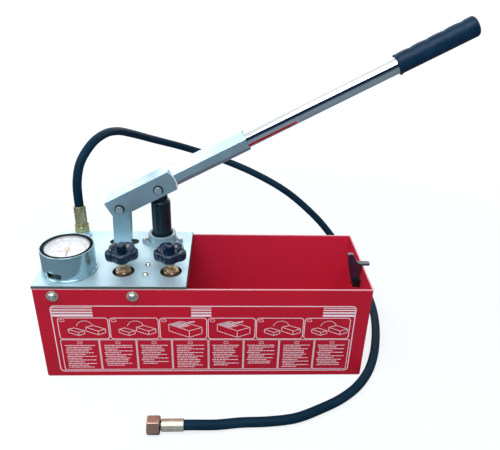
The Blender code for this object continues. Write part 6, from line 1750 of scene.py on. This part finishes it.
@dataclass
class Lever:
    """The lever: a folded fork, a chromed tube and a rubber grip, with its two pins and the link.

    Its pieces are shaped with the lever level and its front pin at the origin, then turned and moved.
    """

    angle: float = 28.4
    pivot: Point = (-0.0755, 0.047, 0.2745)
    rise: float = 0.0035
    tube_radius: float = 0.0125
    tube_wall: float = 0.002
    tube_start: float = 0.0403
    tube_end: float = 0.505
    grip_start: float = 0.399
    grip_end: float = 0.5187
    grip_radius: float = 0.0146
    grip_round: float = 0.005
    grip_lip: float = 0.0011
    swell: float = 0.0012
    wave: float = 0.025
    spacing: float = 0.0705
    half_fork: float = 0.02
    fork_back: float = -0.087
    fork_low: float = -0.0124
    fork_top: float = 0.02
    fork_wall: float = 0.004
    fork_bend: float = 0.0012
    fork_edge: float = 0.0003
    fork_sharp: float = 24.0
    bow_radius: float = 0.03
    bow_middle: Pair = (0.002, 0.0045)
    bead_radius: float = 0.001
    bead_inset: float = 0.0008
    bead_ends: Pair = (0.0012, 0.0022)
    socket_sections: tuple[tuple[float, ...], ...] = (
        (0.023, 0.016, 0.006, 0.0175, 0.006, -0.0056, -0.0144, 0.006),
        (0.1555, 0.016, 0.006, 0.0159, 0.0043, -0.0078, -0.0148, 0.006),
        (0.156, 0.0157, 0.0058, 0.0156, 0.0041, -0.0076, -0.0145, 0.0058))
    pin_radius: float = 0.006
    pin_neck: float = 0.0011
    pin_proud: float = 0.004
    groove_end: float = 0.0018
    head_radius: float = 0.0085
    head_height: float = 0.003
    clip_radius: float = 0.0079
    clip_thick: float = 0.0012
    clip_gap: Pair = (-65.0, 245.0)
    link_length: float = 0.11
    link_radius: float = 0.0145
    link_half: float = 0.007
    link_edge: float = 0.0009
    link_tilt: float = 2.5

    def build(self) -> None:
        """Makes the lever and the link."""
        mount(self.fork(), GREY_ENAMEL, "lever_fork", body=Body.LEVER)
        # Painted highlight: a near-white bead on each of the fork's front edges.
        for side, name in ((-1.0, "front"), (1.0, "back")):
            bead = self.aimed(self.edge_highlight_bead(side)).build("fork_edge_highlight_" + name)
            mount(bead, EDGE_HIGHLIGHT, body=Body.LEVER)
        remake("lever_tube", self.aimed(self.tube()), CHROME_TUBE, Body.LEVER)
        remake("lever_grip", self.aimed(self.grip()), GRIP_RUBBER, Body.LEVER, smooth=50.0)
        for name, along in (("front", 0.0), ("back", -self.spacing)):
            remake(name + "_pin", self.aimed(self.pin(), along), PLAIN_STEEL, Body.LEVER)
            remake(name + "_pin_clip", self.aimed(self.clip(), along), BLACK_OXIDE, Body.LEVER)
        remake("link", self.link(), GREY_ENAMEL, Body.LINK)
        refine("fulcrum_pin", PLAIN_STEEL, Body.LINK)
        refine("fulcrum_bracket", GREY_ENAMEL, edge=0.0006)

    def aimed(self, shape: Shape, along: float = 0.0) -> Shape:
        """A shape of the level lever, moved along it and then brought to its place."""
        return shape.placed(at=(along, 0.0, 0.0)).placed(turn_y(self.angle), self.pivot)

    def fork(self) -> Piece:
        """The fork and its socket in the lever's place, with every edge broken."""
        piece = self.aimed(self.channel() + self.socket()).build("lever_fork_dressed", self.fork_sharp)
        break_edges(piece, self.fork_edge, self.fork_sharp)
        tidy(piece.data, self.fork_sharp)
        return flatten(piece)

    def bow(self, height: Array) -> Array:
        """How far forward the fork's front edge lies at each height: a circle round the bow's middle."""
        start, middle = self.bow_middle
        return start + np.sqrt(self.bow_radius ** 2 - (height - middle) ** 2)

    def edge_highlight_bead(self, side: float) -> Shape:
        """A thin round bead of painted highlight along the front edge of one of the fork's sides."""
        low, top = self.bead_ends
        height = np.linspace(self.fork_low + low, self.fork_top - top, 24)
        across = np.full(len(height), side * (self.half_fork - self.bead_inset))
        return sweep(np.stack([self.bow(height) - 0.0002, across, height], -1), self.bead_radius, sides=16)

    def fold(self, half: float, top: float, corner: float) -> Array:
        """One face of the fork's folded section: up a side, over the top and down the other side."""
        steps = 14
        rise = np.linspace(self.fork_low, top - corner, steps)
        bend = arc((corner - half, top - corner), corner, 180.0, 90.0, 4)
        side = np.vstack([np.stack([np.full(steps, -half), rise], -1), bend[1:]])
        return np.vstack([side, side[::-1] * (-1.0, 1.0)])

    def channel(self) -> Shape:
        """The fork: a sheet folded over both pins. Each point of its section runs from the back end to a
        front edge."""
        outer = self.fold(self.half_fork, self.fork_top, self.fork_bend)
        inner = self.fold(self.half_fork - self.fork_wall, self.fork_top - self.fork_wall, self.fork_edge)
        section = np.vstack([outer, inner[::-1]])
        front = self.bow(section[:, 1])
        along = np.stack([np.full(len(front), self.fork_back), front], -1)
        across, up = (np.broadcast_to(section[:, axis, None], along.shape) for axis in (0, 1))
        sheet = skin(np.stack([along, across, up], -1))
        last = 2 * len(outer) - 1
        for end in (0, 1):
            sheet.faces.extend([2 * step + end, 2 * step + 2 + end, 2 * (last - step - 1) + end,
                                2 * (last - step) + end] for step in range(len(outer) - 1))
        return sheet

    def socket(self) -> Shape:
        """The socket: eight-sided sections from inside the fork to its open end, each a place along, a
        half width, a side's top, the top and its half flat, a side's foot, the foot and its half flat."""
        rows = []
        for along, half, side_top, top, flat, side_low, low, base in self.socket_sections:
            rows.append([(along, across, self.rise + up) for across, up in (
                (half, side_low), (half, side_top), (flat, top), (-flat, top), (-half, side_top),
                (-half, side_low), (-base, low), (base, low))])
        return skin(np.array(rows).transpose(1, 0, 2), caps=True)

    def tube(self) -> Shape:
        """The chromed tube, with its ends broken."""
        wall = box(self.tube_radius - self.tube_wall, self.tube_radius, self.tube_start, self.tube_end)
        profile = fillet(wall, 0.0004, closed=True)
        return along_x(revolve(profile, 128)).placed(at=(0.0, 0.0, self.rise))

    def grip(self) -> Shape:
        """The grip: rings whose upper side swells along the tube by the 0.6th power of a sine, and round
        it by the 1.5th power of the upward cosine. A row is a place along, a radius and a swell."""
        lip, radius, end_round = self.grip_start, self.grip_radius, self.grip_round
        mouth, thick = self.tube_radius + CLEAR, radius + self.grip_lip
        along = np.linspace(lip + 0.005, self.grip_end - end_round, 129)
        swell = self.swell * np.abs(np.sin(math.pi * (along - lip) / self.wave)) ** 0.6
        body = np.stack([along, np.full(len(along), radius), swell], -1)
        bend = np.radians(np.linspace(0.0, 90.0, 9))[1:]
        end = np.stack([along[-1] + end_round * np.sin(bend), radius - end_round * (1 - np.cos(bend)),
                        swell[-1] * np.cos(bend)], -1)
        start = np.array([
            (self.tube_end, mouth, 0.0), (lip, mouth, 0.0), (lip, radius + 0.0004, 0.0),
            (lip + 0.0005, thick, 0.0), (lip + 0.0026, thick, 0.0), (lip + 0.0034, radius + 0.0002, 0.0)])
        rows = np.vstack([start, body, end])
        angle = np.linspace(0.0, math.tau, 96, endpoint=False)[:, None]
        upper = np.maximum(0.0, np.cos(angle)) ** 1.5
        reach = rows[None, :, 1] + rows[None, :, 2] * upper
        grid = np.stack([np.broadcast_to(rows[None, :, 0], reach.shape), reach * np.sin(angle),
                         self.rise + reach * np.cos(angle)], -1)
        return skin(grid, caps=True)

    def pin(self) -> Shape:
        """A pin across the fork with a head at its back end and a groove for the clip in front."""
        half, radius, head = self.half_fork, self.pin_radius, self.head_radius
        neck, front, groove = radius - self.pin_neck, -half - self.pin_proud, -half - self.groove_end
        seat, back = half + CLEAR, half + CLEAR + self.head_height
        profile = line([
            (0.0, front), (radius, front, 0.0006), (radius, groove, 0.0001), (neck, groove), (neck, -half),
            (radius, -half), (radius, seat), (head, seat, 0.0002), (head, back, 0.0007), (0.0, back)])
        return along_y(revolve(profile, 72))

    def clip(self) -> Shape:
        """The open spring clip in the pin's groove: two arcs joined at its gap, which faces down."""
        inner = self.pin_radius - self.pin_neck + CLEAR
        start, end = self.clip_gap
        loop = np.vstack(
            [arc((0.0, 0.0), self.clip_radius, start, end, 40), arc((0.0, 0.0), inner, end, start, 32)])
        low = self.half_fork + CLEAR
        return upright(slab(loop, low, low + self.clip_thick, 0.0002, steps=2))

    def link(self) -> Shape:
        """The flat link with round ends, tilted, and the boss that centres it on the back pin."""
        ends = [arc((0.0, 0.0), self.link_radius, 0.0, 180.0, 32),
                arc((0.0, -self.link_length), self.link_radius, 180.0, 360.0, 32)]
        bar = upright(slab(np.vstack(ends), -self.link_half, self.link_half, self.link_edge))
        bore, radius, half = PIN_BOSS
        boss = along_y(revolve(ring(bore, radius, -half, half, 0.0005), 72))
        back = np.array(self.pivot) + turn_y(self.angle) @ np.array((-self.spacing, 0.0, 0.0))
        return (bar + boss).placed(turn_y(-self.link_tilt), back)


@dataclass
class Pipework:
    """The block and the copper pipes under the deck."""

    def build(self) -> None:
        """Makes the block and the three pipes."""
        # The block is dark as painted shade, seen through the deck's holes.
        refine("valve_block", SHADED_CAST_BLOCK, edge=0.0005)
        for name in ("transfer_pipe", "gauge_pipe", "outlet_pipe"):
            refine(name, COPPER_TUBE, edge=0.0, smooth=50.0)


# The hose's route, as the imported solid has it: out of the near ferrule, over the tank's back, round its right
# end and along the floor to the far ferrule.
HOSE_ROUTE: tuple[Point, ...] = (
    (-0.212, 0.068, 0.2283), (-0.212, 0.068, 0.245), (-0.2105, 0.0705, 0.272), (-0.205, 0.081, 0.298),
    (-0.191, 0.111, 0.32), (-0.177, 0.149, 0.325), (-0.164, 0.186, 0.318), (-0.151, 0.221, 0.304),
    (-0.115, 0.285, 0.271), (-0.057, 0.331, 0.239), (0.018, 0.338, 0.212), (0.093, 0.326, 0.184),
    (0.163, 0.31, 0.148), (0.224, 0.288, 0.101), (0.251, 0.274, 0.074), (0.274, 0.255, 0.047),
    (0.294, 0.227, 0.026), (0.307, 0.191, 0.014), (0.313, 0.151, 0.009), (0.314, 0.11, 0.0075),
    (0.311, 0.071, 0.0075), (0.304, 0.03, 0.0075), (0.294, -0.009, 0.0075), (0.281, -0.047, 0.0075),
    (0.263, -0.084, 0.0075), (0.238, -0.117, 0.0075), (0.207, -0.143, 0.0075), (0.171, -0.163, 0.0075),
    (0.134, -0.179, 0.0075), (0.094, -0.185, 0.0075), (0.054, -0.1865, 0.0075), (0.018, -0.1915, 0.009),
    (-0.0115, -0.194, 0.012), (-0.0264, -0.194, 0.012),
)


@dataclass
class HoseLine:
    """The outlet on the deck, the hose and the fittings at its ends."""

    at: Point = (-0.212, 0.068, 0.0)
    bore: float = 0.003
    outlet_low: float = 0.1694
    outlet_stem: float = 0.0065
    outlet_foot: float = 0.0145
    outlet_step: float = 0.012
    outlet_neck: float = 0.0072
    base_top: float = 0.1763
    step_top: float = 0.181
    neck_height: float = 0.007
    nut_low: float = 0.1813
    nut_high: float = 0.1925
    nut_top: float = 0.196
    nut_half: float = 0.011
    nut_bore: float = 0.0075
    nut_mouth: float = 0.0101
    nut_turn: float = 12.0
    tail_low: float = 0.1884
    tail_radius: float = 0.0071
    ferrule_low: float = 0.1963
    ferrule_top: float = 0.228
    ferrule_radius: float = 0.0094
    flutes: int = 8
    flute_depth: float = 0.00055
    hose_radius: float = 0.00725
    hose_length: float = 1.49
    ring_spacing: float = 0.005
    far_x: float = -0.0267
    far_y: float = -0.194
    far_z: float = 0.012
    far_radius: float = 0.0087
    far_length: float = 0.032
    far_tail_radius: float = 0.0065
    far_tail_head: float = 0.0084
    far_head_length: float = 0.0045
    far_nut_right: float = -0.0605
    far_nut_length: float = 0.0174
    far_nut_half: float = 0.012
    far_nut_bore: float = 0.0068
    far_nut_wall: float = 0.0045
    far_nut_chamfer: float = 0.0016
    thread_root: float = 0.0088
    thread_height: float = 0.0005
    thread_step: float = 0.0008
    thread_start: float = 0.0012
    thread_mouth: float = 0.0096

    def build(self) -> None:
        """Makes the outlet, the hose and both ends' fittings."""
        remake("outlet_fitting", self.outlet().placed(at=self.at), SHADED_ZINC_SHEET)
        remake("hose_nut", self.near_nut().placed(turn_z(self.nut_turn), self.at), YELLOW_ZINC)
        remake("near_ferrule", self.near_ferrule().placed(at=self.at), FLUTED_ZINC)
        far = [remake("far_ferrule", self.laid(self.far_ferrule()), STRAW_ZINC),
               remake("far_tail", self.laid(self.far_tail()), BLACK_OXIDE),
               remake("far_nut", self.laid(self.far_nut()), BROWN_STEEL, Body.FAR_NUT)]
        path = smooth_route(HOSE_ROUTE, self.ring_spacing)
        hose = mount(sweep(path, self.hose_radius).build("hose_cover"), HOSE_COVER, "hose")

    def laid(self, shape: Shape) -> Shape:
        """A far fitting about Z, laid on the far end's axis."""
        return along_x(shape).placed(at=(0.0, self.far_y, self.far_z))

    def outlet(self) -> Shape:
        """The outlet fitting: a foot on the deck, a step, and the neck that the nut goes over."""
        neck_top = self.step_top + self.neck_height
        corners = [
            (self.bore, self.outlet_low), (self.outlet_stem, self.outlet_low), (self.outlet_stem, DECK_TOP),
            (self.outlet_foot, DECK_TOP), (self.outlet_foot, self.base_top),
            (self.outlet_step, self.base_top), (self.outlet_step, self.step_top),
            (self.outlet_neck, self.step_top), (self.outlet_neck, neck_top), (self.bore, neck_top)]
        return revolve(fillet(corners, 0.0004, closed=True))

    def near_nut(self) -> Shape:
        """The hose nut: six-sided with broken corners, then a cone up to the ferrule."""
        corner = hexagon_corner(self.nut_half)
        profile = line([
            (self.nut_bore, self.nut_low), (corner * 0.93, self.nut_low), (corner, self.nut_low + 0.001),
            (corner, self.nut_high - 0.0012), (self.nut_half * 0.985, self.nut_high, 0.0004),
            (self.nut_mouth, self.nut_top, 0.0006), (self.nut_bore, self.nut_top)], closed=True)
        return revolve(profile, 96, self.nut_half)

    def near_ferrule(self) -> Shape:
        """The crimped ferrule: lengthwise flutes as a ripple, plain rims, and the tail inside it."""
        low, top, radius = self.ferrule_low, self.ferrule_top, self.ferrule_radius
        body = radius - 0.0003
        corners = [
            (self.bore, self.tail_low), (self.tail_radius, self.tail_low), (self.tail_radius, low),
            (body, low), (body, low + 0.0012), (body, low + 0.003), (radius - 0.0004, (low + top) / 2),
            (body, top - 0.0045), (radius - 0.0006, top - 0.0025), (radius - 0.0002, top - 0.0012),
            (radius - 0.0002, top), (self.hose_radius, top), (self.hose_radius, top - 0.0004),
            (self.bore, top - 0.0004)]
        profile = fillet(corners, 0.0003, closed=True)
        outside = (profile[:, 1] > low + 0.0012) & (profile[:, 1] < top - 0.0018) & (profile[:, 0] > 0.008)
        return revolve(profile, 160, ripple=(self.flutes, np.where(outside, -self.flute_depth, 0.0)))

    def far_ferrule(self) -> Shape:
        """The plain smooth ferrule at the far end, round the hose's end."""
        start, end, radius = self.far_x, self.far_x - self.far_length, self.far_radius
        profile = fillet([(0.0, start), (radius - 0.0008, start), (radius, start - 0.001),
                          (radius, end + 0.001), (radius - 0.001, end), (0.0, end)], 0.0006, steps=3)
        return revolve(profile[::-1], 96)

    def far_tail(self) -> Shape:
        """The bored tail with the wide head that the far nut turns on."""
        start = self.far_x - self.far_length - CLEAR
        head = self.far_nut_right - self.far_nut_wall - CLEAR
        tip = head - 0.006
        corners = [(self.bore, start), (self.far_tail_radius, start), (self.far_tail_radius, head),
                   (self.far_tail_head, head), (self.far_tail_head, head - self.far_head_length),
                   (self.far_nut_bore, tip), (self.bore, tip)]
        return revolve(fillet(corners, 0.0003, closed=True), 72)

    def far_nut(self) -> Shape:
        """The swivel nut on the floor: six-sided with chamfered corners, threaded inside by small teeth."""
        right, left = self.far_nut_right, self.far_nut_right - self.far_nut_length
        corner, chamfer = hexagon_corner(self.far_nut_half), self.far_nut_chamfer
        blunt, edge = corner * 0.982, corner * 0.9
        wall = right - self.far_nut_wall
        teeth = [(self.thread_root + self.thread_height * (number % 2),
                  wall - self.thread_start - self.thread_step * number) for number in range(13)]
        corners = [(self.far_nut_bore, right), (self.far_nut_bore, wall), (self.thread_root, wall), *teeth,
                   (self.thread_mouth, left), (edge, left), (blunt, left + chamfer), (blunt, right - chamfer),
                   (edge, right)]
        profile = fillet(corners, 0.0001, steps=2, closed=True)
        flats = np.where(profile[:, 0] > self.thread_mouth + 0.0002, self.far_nut_half, ROUND)
        return revolve(profile, 144, flats).placed(turn_z(30.0))


@dataclass
class Catch:
    """The hooked lever catch on the tank's right end wall."""

    x: float = 0.2406
    y: float = -0.013
    z: float = 0.134
    reach: float = 0.0172
    height: float = 0.053
    thick: float = 0.007
    corner: float = 0.0012
    edge: float = 0.0011
    eye_bore: float = 0.0021
    eye_radius: float = 0.0039
    tab_span: Pair = (0.001, 0.0194)
    tab_half: float = 0.005
    tab_corner: float = 0.003
    tab_low: float = 0.0333
    tab_high: float = 0.037
    outline_shares: tuple[Pair, ...] = (
        (0.225, 0.000), (0.225, 0.2), (0.375, 0.4), (0.375, 0.6), (0.225, 0.64), (0.05, 0.7),
        (-0.16, 0.79), (-0.33, 0.89), (-0.49, 0.99), (-0.62, 1.000), (-0.98, 1.000), (-1.02, 0.92),
        (-0.86, 0.66), (-0.7, 0.42), (-0.56, 0.2), (-0.38, 0.03))

    def build(self) -> None:
        """Makes the catch, its bracket and its pin."""
        shape = (self.hook() + self.eye() + self.tab()).placed(at=(self.x, self.y, self.z))
        remake("lever_catch", shape, BLACK_LACQUER, Body.CATCH)
        refine("catch_bracket", BLACK_OXIDE)
        refine("catch_pin", BLACK_OXIDE)

    def hook(self) -> Shape:
        """The catch's plate: its outline in shares of its reach and height, closed round the eye."""
        shares = np.array(self.outline_shares) * (self.reach, self.height)
        round_eye = arc((0.0, 0.0), self.eye_radius, 190.0, 350.0, 16)[[0, -1]]
        outline = fillet(np.vstack([shares, round_eye]), self.corner, steps=3, closed=True)
        return upright(slab(outline, -self.thick / 2, self.thick / 2, self.edge))

    def eye(self) -> Shape:
        """The eye that the pin goes through."""
        profile = ring(self.eye_bore, self.eye_radius, -self.thick / 2, self.thick / 2, 0.0005)
        return along_y(revolve(profile, 48))

    def tab(self) -> Shape:
        """The flat tab that a finger presses."""
        outline = fillet(box(*self.tab_span, -self.tab_half, self.tab_half),
                         (0.0004, self.tab_corner, self.tab_corner, 0.0004), closed=True)
        return slab(outline, self.tab_low, self.tab_high, 0.0009)


def main() -> None:
    logging.basicConfig(level=logging.INFO, format="%(message)s")
    assemblies = [
        Studio(), HoseLine(), Tank(), Deck(), BodyScrews(),
        Valve("left", -0.1245, 9.0, Body.LEFT_SPINDLE, Body.LEFT_KNOB),
        Valve("right", -0.053, 0.0, Body.RIGHT_SPINDLE, Body.RIGHT_KNOB),
        Gauge(), PistonLine(), Lever(), Pipework(), Catch(),
    ]
    for assembly in assemblies:
        LOG.info("building %s", type(assembly).__name__)
        assembly.build()


if __name__ == "__main__":
    main()
